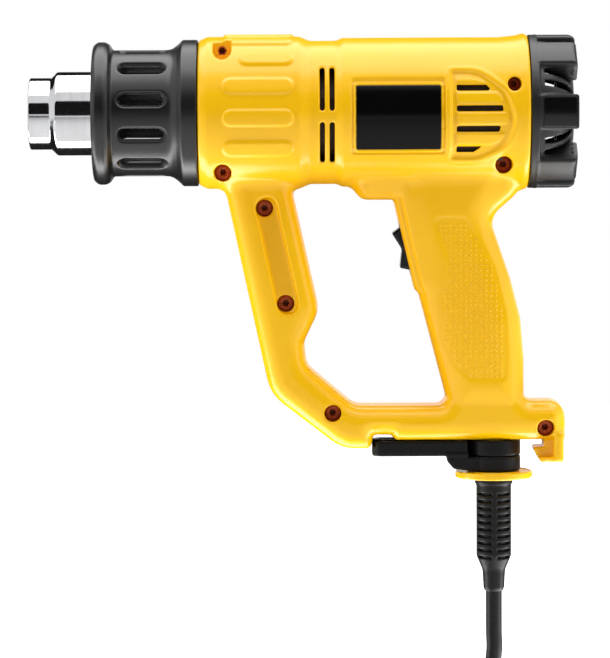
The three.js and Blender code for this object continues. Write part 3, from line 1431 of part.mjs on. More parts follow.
function coilSolid() {
  const sides = 6;
  const middle = coilMiddleLine();
  const up = new THREE.Vector3(0, 0, 1);
  const positions = [];
  middle.forEach((point, i) => {
    const before = middle[Math.max(i - 1, 0)];
    const after = middle[Math.min(i + 1, middle.length - 1)];
    const isEnd = i < 2 || i > middle.length - 3;
    const along = isEnd ? new THREE.Vector3(-1, 0, 0) : after.clone().sub(before).normalize();
    const across = along.clone().cross(up).normalize();
    const rise = across.clone().cross(along);
    for (let side = 0; side < sides; side += 1) {
      const angle = (2 * Math.PI * side) / sides;
      positions.push(...point.clone()
        .addScaledVector(across, (Math.cos(angle) * cordDiameter) / 2)
        .addScaledVector(rise, (Math.sin(angle) * cordDiameter) / 2)
        .toArray());
    }
  });
  const index = [];
  for (let ring = 0; ring + 1 < middle.length; ring += 1) {
    for (let side = 0; side < sides; side += 1) {
      const a = ring * sides + side;
      const b = ring * sides + ((side + 1) % sides);
      index.push(a, b, b + sides, a, b + sides, a + sides);
    }
  }
  const lastRing = (middle.length - 1) * sides;
  for (let side = 1; side + 1 < sides; side += 1) {
    index.push(0, side + 1, side);
    index.push(lastRing, lastRing + side, lastRing + side + 1);
  }
  const geometry = new THREE.BufferGeometry();
  geometry.setAttribute('position', new THREE.Float32BufferAttribute(positions, 3));
  geometry.setIndex(index);
  return geometry;
}
addPiece('cord_coil', coilSolid(), 'rubber');

// Least clearance between turns, measured between points at least half a turn apart
function coilGap() {
  const points = coilMiddleLine();
  let least = Infinity;
  points.forEach((point, i) => {
    points.slice(i + coilStepsPerTurn / 2).forEach((other) => {
      least = Math.min(least, point.distanceTo(other));
    });
  });
  return least - cordDiameter;
}
console.log(`cord_coil: least gap to itself ${coilGap().toFixed(2)} mm`);

// The tie is a band round the coil's section: four turns below, three above
function coilTie() {
  const turnsBelow = [tieTurn, tieTurn + 3].map(coilRadiusAt);
  const turnsAbove = [tieTurn + 4, coilTurns - 1 + tieTurn].map(coilRadiusAt);
  const middles = [
    [turnsBelow[1], 0, 0.01],
    [turnsBelow[0], 0, 0.01],
    [turnsAbove[1], coilPitch, 0.01],
    [turnsAbove[0], coilPitch, 0.01],
  ];
  const band = (distance, half) => solid(
    sidePlate(inset(middles, -distance), half)
      .rotateZ(2 * Math.PI * (tieTurn + 0.25))
      .translate(...coilCentre.toArray()),
  );
  const inner = cordDiameter / 2 + tieGap;
  return band(inner + tieThickness, tieWidth / 2).subtract(band(inner, tieWidth / 2 + overshoot));
}
addPiece('cord_tie', coilTie(), 'rubber');

// Plug: a flat two-pin body that lies where the tail ends, pins pointing on along -Y
const [plugX, tailEndY, plugZ] = tailRoute[tailRoute.length - 1];
const plugRearY = tailEndY - gap;
const plugFrontY = plugRearY - plugLength;
const plugPins = [-1, 1].map((side) => ({ x: plugX + (side * plugPinSpacing) / 2 }));
function plugBody() {
  const rear = plugRearWidth / 2;
  const front = plugWidth / 2;
  const shoulderY = plugFrontY + plugShoulder;
  const body = plate([
    [-rear, plugRearY, plugCornerRadius],
    [-front, shoulderY, plugShoulderRadius],
    [-front, plugFrontY, plugCornerRadius],
    [front, plugFrontY, plugCornerRadius],
    [front, shoulderY, plugShoulderRadius],
    [rear, plugRearY, plugCornerRadius],
  ], plugHeight / 2, plugEdge, 2).translate(plugX, 0, plugZ);
  const seats = plugPins.map(({ x }) => solid(crossBar(
    plugPinRadius + gap, x, plugZ, plugFrontY - overshoot, plugFrontY + plugPinSeat + gap,
  )));
  return cutBy(solid(body), seats);
}
addPiece('plug_body', plugBody(), 'rubber');
plugPins.forEach(({ x }, i) => {
  const pin = turned([
    [plugFrontY - plugPinLength, 0],
    [plugFrontY - plugPinLength, plugPinRadius - 0.8],
    [plugFrontY - plugPinLength + plugPinPoint, plugPinRadius],
    [plugFrontY + plugPinSeat, plugPinRadius],
    [plugFrontY + plugPinSeat, 0],
  ], pinSides).rotateZ(Math.PI / 2);
  addPiece(`plug_pin_${i + 1}`, pin, 'steel').position.set(x, 0, plugZ);
});

export default tool;
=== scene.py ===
# %% [markdown]
# # Hot air tool
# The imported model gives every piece's place, in metres, with the outlet pointing along -X and
# the grip standing along Z. It is loaded first and never moved: each piece that is made here
# takes its sizes from it, and rides on one of its bodies, so that the joints still work.

# %% The frame
import math
from functools import reduce
from itertools import product
import bmesh
import bpy
import numpy as np
from mathutils import Matrix, Vector


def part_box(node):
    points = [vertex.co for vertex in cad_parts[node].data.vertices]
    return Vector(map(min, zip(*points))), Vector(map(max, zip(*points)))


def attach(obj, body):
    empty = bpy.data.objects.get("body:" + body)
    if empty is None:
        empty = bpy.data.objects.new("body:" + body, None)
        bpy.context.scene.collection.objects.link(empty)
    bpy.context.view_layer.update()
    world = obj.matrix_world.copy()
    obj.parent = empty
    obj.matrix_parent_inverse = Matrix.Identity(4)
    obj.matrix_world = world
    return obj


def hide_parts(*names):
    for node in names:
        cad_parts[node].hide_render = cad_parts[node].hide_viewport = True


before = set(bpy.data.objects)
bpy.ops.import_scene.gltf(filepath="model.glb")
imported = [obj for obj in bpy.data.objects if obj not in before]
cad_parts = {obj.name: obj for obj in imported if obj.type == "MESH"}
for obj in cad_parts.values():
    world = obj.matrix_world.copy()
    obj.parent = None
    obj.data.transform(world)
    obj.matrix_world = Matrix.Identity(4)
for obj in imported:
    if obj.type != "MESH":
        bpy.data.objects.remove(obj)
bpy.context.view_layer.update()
scene = bpy.context.scene
scene.view_settings.view_transform = "Standard"

# %% Small helpers for millimetres, meshes and pieces
MM = 0.001
SIDES = ((-1, "left"), (1, "right"))


def metres(points):
    """Points in millimetres as tuples in metres."""
    return [tuple(float(v) * MM for v in point) for point in points]


def placed(name, data):
    """A new object in the scene."""
    made = bpy.data.objects.new(name, data)
    scene.collection.objects.link(made)
    return made


def shaded(piece, angle):
    """The piece, shaded smooth up to an angle in degrees."""
    piece.data.shade_smooth()
    piece.data.set_sharp_from_angle(angle=math.radians(angle))
    return piece


def mesh_piece(name, points, faces, smooth_angle=35):
    """A piece from points in millimetres, with equal points merged and faces turned outward."""
    mesh = bpy.data.meshes.new(name)
    mesh.from_pydata(metres(points), [], [tuple(int(i) for i in face) for face in faces])
    made = bmesh.new()
    made.from_mesh(mesh)
    bmesh.ops.remove_doubles(made, verts=made.verts, dist=1e-6)
    bmesh.ops.recalc_face_normals(made, faces=made.faces)
    made.to_mesh(mesh)
    made.free()
    return shaded(placed(name, mesh), smooth_angle)


def dress(piece, body, slot, material, *nodes):
    """Gives a piece its body and its material, and hides the frame nodes it stands for; the slot is
    not used.
    """
    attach(piece, body)
    piece.data.materials.clear()
    piece.data.materials.append(material)
    if nodes:
        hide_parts(*nodes)
    return piece


# %% [markdown]
# The camera stands level with the barrel 1.6 m to the tool's left, looks a little down
# and leans a third of a degree, as the photographer's did. A long lens keeps the barrel's
# ends almost in profile.

# %% Camera
CAMERA_PLACE, CAMERA_DOWN, CAMERA_LEAN = (-0.0774, -1.6, 0.0956), 3.9, -0.3
camera_data = bpy.data.cameras.new("photo_camera")
camera_data.sensor_width = 36
camera_data.lens = 186.6
camera = placed("photo_camera", camera_data)
scene.camera = camera
camera.matrix_world = (
    Matrix.Translation(CAMERA_PLACE)
    @ Matrix.Rotation(math.radians(90 - CAMERA_DOWN), 4, "X")
    @ Matrix.Rotation(math.radians(CAMERA_LEAN), 4, "Z")
)
print("camera lens, mm:", camera_data.lens)

# %% [markdown]
# The free cord leaves the strain relief, falls, curves onto the surface below and is wound
# into a neat coil of seven turns in two layers, held by a tie, with the plug beside it. A
# tube swept along sampled points follows such a route exactly, so that is how it is made; a
# curve object would round the corners in its own way.

# %% The cord's route, in millimetres
CORD_RADIUS = 3.8
EXIT_X, COIL_Z = 11.2, -208
FALL = [(x, 0, z) for x, z in (
    (EXIT_X, -136.4), (EXIT_X, -146), (EXIT_X, -157), (EXIT_X, -168), (8.2, -183.3),
    (-0.5, -196.3), (-13.5, -205), (-28.8, COIL_Z), (-35.4, COIL_Z), (-42.1, COIL_Z),
)]
TAIL = [
    (-57.9, 0, -199.8), (-64, 0, -199.8), (-72, 0, -200.5), (-80, 0, -202.2),
    (-88, 0, -204.3), (-96, 0, -206.3), (-104, 0, -207.6), (-112, -0.1, COIL_Z),
    (-122.2, -2.4, COIL_Z), (-132.6, -9.4, COIL_Z), (-139.6, -19.8, COIL_Z),
    (-142, -32, COIL_Z), (-142, -40, -207.4), (-142, -48, -204.6), (-142, -56, -201),
    (-142, -62, -199.5), (-142, -69, -199.3),
]
COIL_CENTRE = (-50, -57, COIL_Z)
COIL_RADIUS, COIL_PITCH, COIL_TURNS, CLIMB_TURNS = 57, 8.2, 7, 0.5


def coil_radius(turn):
    """The cord spirals in on the lower layer and out again on the upper one."""
    return COIL_RADIUS - COIL_PITCH * min(turn, COIL_TURNS - turn)


def coil_point(turn):
    """The cord's middle at a number of turns from where it arrives."""
    angle = 2 * math.pi * (turn + 0.25)
    climbed = min(max((turn - (COIL_TURNS - CLIMB_TURNS) / 2) / CLIMB_TURNS, 0), 1)
    return (
        COIL_CENTRE[0] + coil_radius(turn) * math.cos(angle),
        COIL_CENTRE[1] + coil_radius(turn) * math.sin(angle),
        COIL_CENTRE[2] + COIL_PITCH * (1 - math.cos(math.pi * climbed)) / 2,
    )


def rounded(points, steps):
    """A smooth line through the points, with a number of steps between each two."""
    line = np.array(points, float)
    padded = np.vstack([2 * line[0] - line[1], line, 2 * line[-1] - line[-2]])
    made = []
    for before, start, end, after in zip(padded, padded[1:], padded[2:], padded[3:]):
        for t in np.arange(steps) / steps:
            made.append(0.5 * (
                2 * start + (end - before) * t
                + (2 * before - 5 * start + 4 * end - after) * t ** 2
                + (3 * start - before - 3 * end + after) * t ** 3
            ))
    return [*made, line[-1]]


STEPS_PER_TURN = 48
coil = [coil_point(step / STEPS_PER_TURN) for step in range(COIL_TURNS * STEPS_PER_TURN + 1)]
route = [*rounded(FALL, 5), *coil, *rounded(TAIL, 4)]


# %% A tube along a line
def tube_faces(rings, sides, closed=False, capped=True):
    """Quads between rings of points; the first and last meet, are capped or stay open."""
    faces = []
    for ring in range(rings if closed else rings - 1):
        after = (ring + 1) % rings
        for side in range(sides):
            beside = (side + 1) % sides
            faces.append((ring * sides + side, ring * sides + beside,
                          after * sides + beside, after * sides + side))
    if capped:
        faces.append(tuple(range(sides))[::-1])
        faces.append(tuple((rings - 1) * sides + side for side in range(sides)))
    return faces


def tube_piece(name, line, radius, sides):
    """A round tube along a line, whose rings turn as little as possible."""
    line = np.array(line, float)
    along = np.gradient(line, axis=0)
    along /= np.linalg.norm(along, axis=1)[:, None]
    across = np.cross(along[0], (0.3, 0.9, 0.2))
    turns = np.linspace(0, 2 * np.pi, sides, endpoint=False)
    points = []
    for middle, way in zip(line, along):
        across = across - way * (across @ way)
        across /= np.linalg.norm(across)
        up = np.cross(way, across)
        points += [middle + radius * (np.cos(t) * across + np.sin(t) * up) for t in turns]
    return mesh_piece(name, points, tube_faces(len(line), sides))


cord = tube_piece("mains_cord", route, CORD_RADIUS, 20)

# %% [markdown]
# Materials are written as sums. A small class wraps one socket: adding, multiplying or
# comparing two of them adds the Math node that does it. Colours go through Mix nodes, since a
# Math node would turn them grey, and every other node comes from one method.

# %% Sockets that can be used in sums
class Wire:
    """One output socket of a material's nodes."""

    def __init__(self, tree, socket):
        self.tree = tree
        self.socket = socket

    def node(self, kind, settings, inputs, output=0):
        """A new node: its settings first, then the values or wires of its sockets."""
        made = self.tree.nodes.new(kind)
        for name, value in settings.items():
            setattr(made, name, value)
        for name, value in inputs.items():
            if isinstance(value, Wire):
                self.tree.links.new(value.socket, made.inputs[name])
            else:
                made.inputs[name].default_value = value
        return Wire(self.tree, made.outputs[output])

    def maths(self, operation, first, second):
        return self.node("ShaderNodeMath", {"operation": operation}, {0: first, 1: second})

    def __add__(self, other):
        return self.maths("ADD", self, other)

    def __sub__(self, other):
        return self.maths("SUBTRACT", self, other)

    def __rsub__(self, other):
        return self.maths("SUBTRACT", other, self)

    def __mul__(self, other):
        return self.maths("MULTIPLY", self, other)

    __radd__ = __add__
    __rmul__ = __mul__

    def ramp(self, low, high):
        """0 below low, 1 above high, smooth between them."""
        return self.node("ShaderNodeMapRange", {"interpolation_type": "SMOOTHSTEP"},
                         {0: self, 1: low, 2: high, 3: 0.0, 4: 1.0})

    def mix(self, first, second):
        """The first colour where this value is 0 and the second where it is 1."""
        return self.node("ShaderNodeMix", {"data_type": "RGBA"},
                         {0: self, 6: first, 7: second}, 2)

    def scaled(self, *factors):
        """These coordinates, stretched along each axis."""
        return self.node("ShaderNodeVectorMath", {"operation": "MULTIPLY"},
                         {0: self, 1: factors})

    def noise(self, scale, detail=2.0, roughness=0.5):
        """Cloudy values about one half, with a number of blotches per metre."""
        return self.node("ShaderNodeTexNoise", {}, {"Vector": self, "Scale": scale,
                                                    "Detail": detail, "Roughness": roughness})

    def cells(self, scale):
        """Distance to the middle of the nearest cell."""
        return self.node("ShaderNodeTexVoronoi", {}, {"Vector": self, "Scale": scale})

    def bump(self, depth, strength):
        """A normal bent as if this height, from 0 to 1, stood out by a depth in metres."""
        return self.node("ShaderNodeBump", {},
                         {"Height": self, "Distance": depth, "Strength": strength})


def colour(red, green, blue):
    """An opaque colour as it looks on a screen, 0 to 255, in the linear values nodes use."""
    def linear(value):
        value /= 255
        return value / 12.92 if value <= 0.04045 else ((value + 0.055) / 1.055) ** 2.4
    return linear(red), linear(green), linear(blue), 1


def grey(value):
    """An opaque grey in linear values."""
    return value, value, value, 1


def finish(name, first, second, look, **constants):
    """A material of two colours. From the place, `look` works out their blend, 0 to 1, the
    roughness and the bent normal."""
    material = bpy.data.materials.new(name)
    material.use_nodes = True
    tree = material.node_tree
    shader = tree.nodes["Principled BSDF"]
    place = Wire(tree, tree.nodes.new("ShaderNodeTexCoord").outputs["Object"])
    blend, *others = look(place)
    wires = [blend.mix(colour(*first), colour(*second)), *others]
    for socket, wire in zip(("Base Color", "Roughness", "Normal"), wires):
        tree.links.new(wire.socket, shader.inputs[socket])
    for socket, value in constants.items():
        shader.inputs[socket.replace("_", " ")].default_value = value
    material.diffuse_color = colour(128, 128, 128)
    return material


# %% [markdown]
# The casing is a satin yellow moulding. Close to, such plastic has a fine spark-eroded grain,
# and its colour and gloss drift a little where the melt met. Both come from noise in the
# piece's own millimetres, so they keep their scale on every piece.

# %% Yellow and black mouldings, rubber and the badge
casing_plastic = finish("casing_plastic", (254, 197, 0), (251, 190, 0), lambda place: (
    place.noise(20, 3).ramp(0.3, 0.72) * 0.8,
    0.2 + place.noise(55, 3) * 0.06 + place.noise(1400, 2) * 0.03,
    place.noise(2600, 2).bump(0.00003, 0.22),
), Specular_IOR_Level=0.5)
black_plastic = finish("black_plastic", (14, 14, 15), (21, 21, 22), lambda place: (
    place.noise(1500, 3).ramp(0.35, 0.7),
    0.24 + place.noise(70, 3) * 0.07 + place.noise(2400, 2) * 0.07,
    place.noise(3200, 3, 0.65).bump(0.00005, 0.5),
), Specular_IOR_Level=0.62)
nylon = finish("black_nylon", (13, 13, 14), (19, 19, 20), lambda place: (
    place.noise(1100, 3).ramp(0.35, 0.7),
    0.28 + place.noise(90, 3) * 0.1 + place.noise(2200, 2) * 0.08,
    place.noise(2600, 3, 0.65).bump(0.00006, 0.5),
), Specular_IOR_Level=0.2)
cap_plastic = finish("cap_plastic", (12, 12, 13), (20, 20, 21), lambda place: (
    place.noise(1100, 3).ramp(0.35, 0.7),
    0.3 + place.noise(60, 3) * 0.1 + place.noise(2000, 2) * 0.1,
    place.noise(1700, 3, 0.7).bump(0.00014, 0.6),
), Specular_IOR_Level=0.62)
smooth_black = finish("smooth_black", (7, 7, 8), (12, 12, 13), lambda place: (
    place.noise(300, 2),
    0.16 + place.noise(200, 3) * 0.06,
    place.noise(2200, 2).bump(0.00003, 0.4),
))
badge_plate = finish("badge_plate", (6, 6, 7), (9, 9, 10), lambda place: (
    place.noise(40, 3),
    0.13 + place.noise(90, 4) * 0.06,
    place.noise(1800, 2).bump(0.00002, 0.3),
), Specular_IOR_Level=0.16)
rubber = finish("rubber", (15, 15, 16), (22, 22, 23), lambda place: (
    place.noise(500, 3).ramp(0.3, 0.75),
    0.36 + place.noise(120, 3) * 0.14,
    place.noise(2600, 3).bump(0.00005, 0.5),
), Specular_IOR_Level=0.25)
dial_grey = finish("dial_grey", (58, 58, 61), (70, 70, 73), lambda place: (
    place.noise(900, 3).ramp(0.3, 0.7),
    0.45 + place.noise(150, 3) * 0.12,
    place.noise(2800, 3).bump(0.00006, 0.5),
))
white_ink = finish("white_ink", (214, 214, 212), (196, 196, 194), lambda place: (
    place.noise(1500, 3),
    0.5 + place.noise(900, 2) * 0.1,
))

# %% [markdown]
# The outlet is deep-drawn steel, polished on a lathe: bright, with fine rings round the tube
# and a trace of straw colour from heat. Noise that is squeezed along X and stretched round
# the tube gives the rings.

# %% Metals
steel = finish("polished_steel", (214, 215, 218), (196, 196, 198), lambda place: (
    place.scaled(1, 0.2, 0.2).noise(120, 3).ramp(0.3, 0.75),
    0.05 + place.scaled(1, 0.03, 0.03).noise(2600, 3) * 0.08,
    place.scaled(1, 0.03, 0.03).noise(2200, 2).bump(0.00002, 0.25),
), Metallic=1.0)
# Painted shade: the brown of the screw heads stands in for the shade deep in their recesses.
screw_painted_shade = finish("screw_recess_shade", (168, 82, 44), (186, 94, 52), lambda place: (
    place.noise(700, 3).ramp(0.3, 0.7),
    0.4 + place.noise(1500, 2) * 0.15,
    place.noise(3000, 2).bump(0.00003, 0.4),
), Metallic=0.4)
zinc = finish("zinc_plate", (168, 168, 170), (190, 190, 188), lambda place: (
    place.noise(600, 3).ramp(0.3, 0.7),
    0.3 + place.noise(1200, 3) * 0.15,
    place.noise(2600, 2).bump(0.00002, 0.3),
), Metallic=1.0)
motor_steel = finish("motor_steel", (120, 122, 126), (150, 151, 153), lambda place: (
    place.scaled(0.1, 1, 1).noise(500, 3),
    0.35 + place.scaled(0.1, 1, 1).noise(900, 2) * 0.15,
    place.scaled(0.05, 1, 1).noise(1600, 2).bump(0.00003, 0.3),
), Metallic=1.0)
heater_wire = finish("heater_wire", (120, 96, 74), (84, 70, 78), lambda place: (
    place.noise(400, 3).ramp(0.35, 0.65),
    0.4 + place.noise(900, 2) * 0.2,
    place.noise(3000, 2).bump(0.00003, 0.4),
), Metallic=1.0)
pin_metal = finish("nickel_pins", (205, 200, 186), (222, 218, 206), lambda place: (
    place.noise(300, 3),
    0.16 + place.scaled(1, 0.05, 1).noise(2400, 2) * 0.12,
    place.scaled(1, 0.05, 1).noise(2400, 2).bump(0.00002, 0.3),
), Metallic=1.0)

# %% Mica, ceramic, gauze, circuit board and lead sleeves
mica = finish("pressed_mica", (186, 170, 138), (160, 142, 108), lambda place: (
    place.cells(420).ramp(0.1, 0.7),
    0.42 + place.noise(500, 3) * 0.25,
    place.cells(420).bump(0.00006, 0.5),
))
dark_mica = finish("dark_mica", (74, 50, 30), (52, 34, 20), lambda place: (
    place.cells(300).ramp(0.1, 0.7),
    0.5 + place.noise(500, 3) * 0.2,
    place.cells(300).bump(0.0001, 0.5),
))
ceramic = finish("unglazed_ceramic", (226, 220, 206), (208, 198, 178), lambda place: (
    place.noise(420, 4, 0.6).ramp(0.35, 0.75),
    0.72 + place.noise(900, 3) * 0.15,
    place.noise(1800, 4, 0.7).bump(0.0001, 0.6),
))
dark_gauze = finish("dark_gauze", (48, 22, 8), (20, 9, 4), lambda place: (
    place.cells(900).ramp(0.2, 0.5),
    0.7 + place.noise(900, 2) * 0.1,
    place.cells(900).bump(0.0002, 0.8),
))
board = finish("circuit_board", (30, 92, 52), (40, 112, 62), lambda place: (
    place.noise(350, 3).ramp(0.45, 0.55),
    0.3 + place.noise(600, 3) * 0.15,
    place.cells(900).bump(0.00004, 0.4),
))
red_sleeve = finish("red_sleeve", (176, 44, 34), (150, 34, 28), lambda place: (
    place.noise(800, 2),
    0.48 + place.noise(500, 2) * 0.1,
    place.noise(2500, 2).bump(0.00004, 0.4),
))

# %% [markdown]
# The photograph is lit as goods are for a catalogue: a long soft box above the tool, light
# from the white table under it, and a dark room on the camera's side. The steel shows all
# three as bands. The world and the floor are white to the camera, the floor still takes the
# tool's shadow, and dark cards that only reflections see stand for the dark room. Two fills
# from the sides and one from behind, that the steel doesn't mirror, lift the yellow's shadows.

# %% World
FLOOR_Z = -0.2136
AMBIENT = 0.32
EYE_GLOW, MIRROR_GLOW = 0.78, 0.06
world = bpy.data.worlds.new("studio")
scene.world = world
world.use_nodes = True
sky = world.node_tree


def ray(path, kind):
    """1 for the rays of one kind."""
    return Wire(path.id_data, path.outputs[f"Is {kind} Ray"])


def seen_by_eye(path):
    """1 for the rays of the camera, of mirrors and of glass, and 0 for those of soft light."""
    return (ray(path, "Camera") + ray(path, "Glossy") + ray(path, "Transmission")).ramp(0.0, 1.0)


backdrop = seen_by_eye(sky.nodes.new("ShaderNodeLightPath")).mix(grey(AMBIENT), grey(1))
sky.links.new(backdrop.socket, sky.nodes["Background"].inputs["Color"])


# %% Floor
def stage_card(name, shade, corners):
    """A matt rectangle through four corners in millimetres, that is part of the stage."""
    card = mesh_piece(name, corners, [(0, 1, 2, 3)])
    material = bpy.data.materials.new(name)
    material.use_nodes = True
    shader = material.node_tree.nodes["Principled BSDF"]
    shader.inputs["Base Color"].default_value = grey(shade)
    shader.inputs["Roughness"].default_value = 0.9
    shader.inputs["Specular IOR Level"].default_value = 0.0
    card.data.materials.append(material)
    return card, material.node_tree, shader


floor_mm = FLOOR_Z / MM
floor_tree, floor_shader = stage_card("floor", 0.86, [
    (-1800, -1800, floor_mm), (1800, -1800, floor_mm), (1800, 1800, floor_mm),
    (-1800, 1800, floor_mm)])[1:]
floor_path = floor_tree.nodes.new("ShaderNodeLightPath")
glow = ray(floor_path, "Camera").mix(
    seen_by_eye(floor_path).mix(grey(0), grey(MIRROR_GLOW)), grey(EYE_GLOW))
floor_tree.links.new(glow.socket, floor_shader.inputs["Emission Color"])
floor_shader.inputs["Emission Strength"].default_value = 1.0

# %% Dark cards, each between two edges, (y, z) in millimetres
CARDS = {
    "dark_room": ((-1600, -60), (-1600, 1230)),
    "dark_edge": ((1150, 420), (900, 1120)),
    "dark_table": ((85, floor_mm + 0.4), (1300, floor_mm + 0.4)),
}
for name, (low, high) in CARDS.items():
    card = stage_card(name, 0.015, [(-2600, *low), (2600, *low), (2600, *high), (-2600, *high)])[0]
    for rays in ("camera", "diffuse", "shadow", "transmission"):
        setattr(card, f"visible_{rays}", False)


# %% Lamps
def lamp(name, place, aim, width, height, power, mirrored=False):
    """A soft box: a rectangle of light that points at a place, both in metres."""
    light = bpy.data.lights.new(name, "AREA")
    light.shape = "RECTANGLE"
    light.size, light.size_y = width, height
    light.energy = power
    made = placed(name, light)
    made.location = place
    made.rotation_euler = (Vector(aim) - Vector(place)).to_track_quat("-Z", "Y").to_euler()
    made.visible_camera = False
    made.visible_glossy = mirrored


MIDDLE = (-0.08, 0, 0)
lamp("overhead_box", (-0.08, 0.10, 0.95), (-0.08, 0.02, 0.05), 1.6, 1.15, 14.5, mirrored=True)
lamp("table_glow", (-0.08, 0.012, -0.2130), (-0.08, 0.012, 0.1), 1.3, 0.11, 3.0, mirrored=True)
lamp("left_fill", (-1.25, -0.42, 0.2), MIDDLE, 0.6, 0.9, 6.0)
lamp("right_fill", (1.09, -0.42, 0.2), MIDDLE, 0.6, 0.9, 6.0)
lamp("back_box", (0.3, 1.0, 0.6), MIDDLE, 1.0, 0.8, 4.0)

# %% [markdown]
# The casing is a thin moulding whose barrel, strut, base and grip flow into each other with
# soft corners, and carry ribs, slots and sunk screws. Modelling that from faces is slow and
# its blends look folded. Here the form is a field instead: a function that says how far a
# point is outside the plastic. Fields are blended and cut with soft minimum and maximum, and
# a net of faces is drawn where the field is zero.

# %% Fields and how they combine
def softest(a, b, radius):
    """The larger of two fields, with their corner rounded: what is inside both."""
    if radius <= 0:
        return np.maximum(a, b)
    near = np.maximum(radius - np.abs(a - b), 0) / radius
    return np.maximum(a, b) + near * near * radius / 4


def joined(a, b, radius):
    """The smaller of two fields, with their corner filled: what is inside either."""
    return -softest(-a, -b, radius)


def overlap(*fields):
    """What is inside all of the fields."""
    return reduce(np.maximum, fields)


def cut(body, cutter, radius=0.0):
    """What is inside the body and outside the cutter."""
    return softest(body, -cutter, radius)


def eased(value, low, high):
    """0 below low, 1 above high and smooth between."""
    t = np.clip((value - low) / (high - low), 0, 1)
    return t * t * (3 - 2 * t)


def stadium(u, v, half_length, half_width):
    """How far a place is outside a bar with round ends."""
    return np.hypot(np.maximum(np.abs(u) - (half_length - half_width), 0), v) - half_width


def rounded_box(u, v, half_u, half_v, corner):
    """How far a place is outside a rectangle with round corners."""
    a = np.abs(u) - half_u + corner
    b = np.abs(v) - half_v + corner
    return np.hypot(np.maximum(a, 0), np.maximum(b, 0)) + np.minimum(np.maximum(a, b), 0) - corner


# %% Outlines
def filleted(corners):
    """The outline through corners [x, z, radius], counter-clockwise, with arcs at the corners."""
    points = []
    for i, (x, z, radius) in enumerate(corners):
        here = np.array((x, z), float)
        before = np.array(corners[i - 1][:2], float) - here
        after = np.array(corners[(i + 1) % len(corners)][:2], float) - here
        a, b = before / np.linalg.norm(before), after / np.linalg.norm(after)
        half = math.acos(max(-1, min(1, float(a @ b)))) / 2
        reach = radius / math.tan(half) if radius else 0
        reach = min(reach, 0.49 * np.linalg.norm(before), 0.49 * np.linalg.norm(after))
        if reach < 0.05:
            points.append(here)
            continue
        bow = reach * math.tan(half)
        middle = here + (a + b) / np.linalg.norm(a + b) * (bow / math.sin(half))
        start, end = here + a * reach - middle, here + b * reach - middle
        sweep = math.pi - 2 * half
        steps = max(2, int(sweep / 0.15))
        turn = math.copysign(1, start[0] * end[1] - start[1] * end[0])
        for step in range(steps + 1):
            t = turn * sweep * step / steps
            points.append(middle + (start[0] * math.cos(t) - start[1] * math.sin(t),
                                    start[0] * math.sin(t) + start[1] * math.cos(t)))
    return np.array(points)


def outside(points, x, z):
    """How far places are outside a closed line through the points, and negative inside it."""
    nearest, inside = 1e9, False
    for (ax, az), (bx, bz) in zip(points, np.roll(points, -1, 0)):
        ex, ez = bx - ax, bz - az
        t = np.clip(((x - ax) * ex + (z - az) * ez) / max(ex * ex + ez * ez, 1e-9), 0, 1)
        nearest = np.minimum(nearest, (x - ax - t * ex) ** 2 + (z - az - t * ez) ** 2)
        if abs(ez) > 1e-9:
            crosses = (z >= min(az, bz)) & (z < max(az, bz))
            inside = inside ^ (crosses & (x < ax + (z - az) * ex / ez))
    return np.where(inside, -1, 1) * np.sqrt(nearest)


class Outline:
    """How far a place in a flat view is outside an outline, read from a fine grid."""

    STEP = 0.4

    def __init__(self, corners, margin=14):
        points = np.round(filleted(corners), 6)
        self.low = points.min(0) - margin
        size = np.ceil((points.max(0) + margin - self.low) / self.STEP).astype(int) + 1
        x, z = (low + self.STEP * np.arange(count) for low, count in zip(self.low, size))
        self.grid = outside(points, x[:, None], z[None, :])

    def __call__(self, x, z):
        u = np.clip((x - self.low[0]) / self.STEP, 0, self.grid.shape[0] - 1.001)
        v = np.clip((z - self.low[1]) / self.STEP, 0, self.grid.shape[1] - 1.001)
        i, j = u.astype(int), v.astype(int)
        u, v = u - i, v - j
        g = self.grid
        return ((g[i, j] * (1 - u) + g[i + 1, j] * u) * (1 - v)
                + (g[i, j + 1] * (1 - u) + g[i + 1, j + 1] * u) * v)


def slab(outline, x, y, z, half_width, bevel, soft):
    """A plate with that outline in the side view, its edges bevelled and softened."""
    flat = outline(x, z)
    side = y - half_width
    slope = (flat + side + bevel) / math.sqrt(2)
    return softest(softest(flat, side, soft), slope, soft)


# %% Net of faces where a field is zero
SETTLE_ROUNDS, NUDGE = 2, 0.02


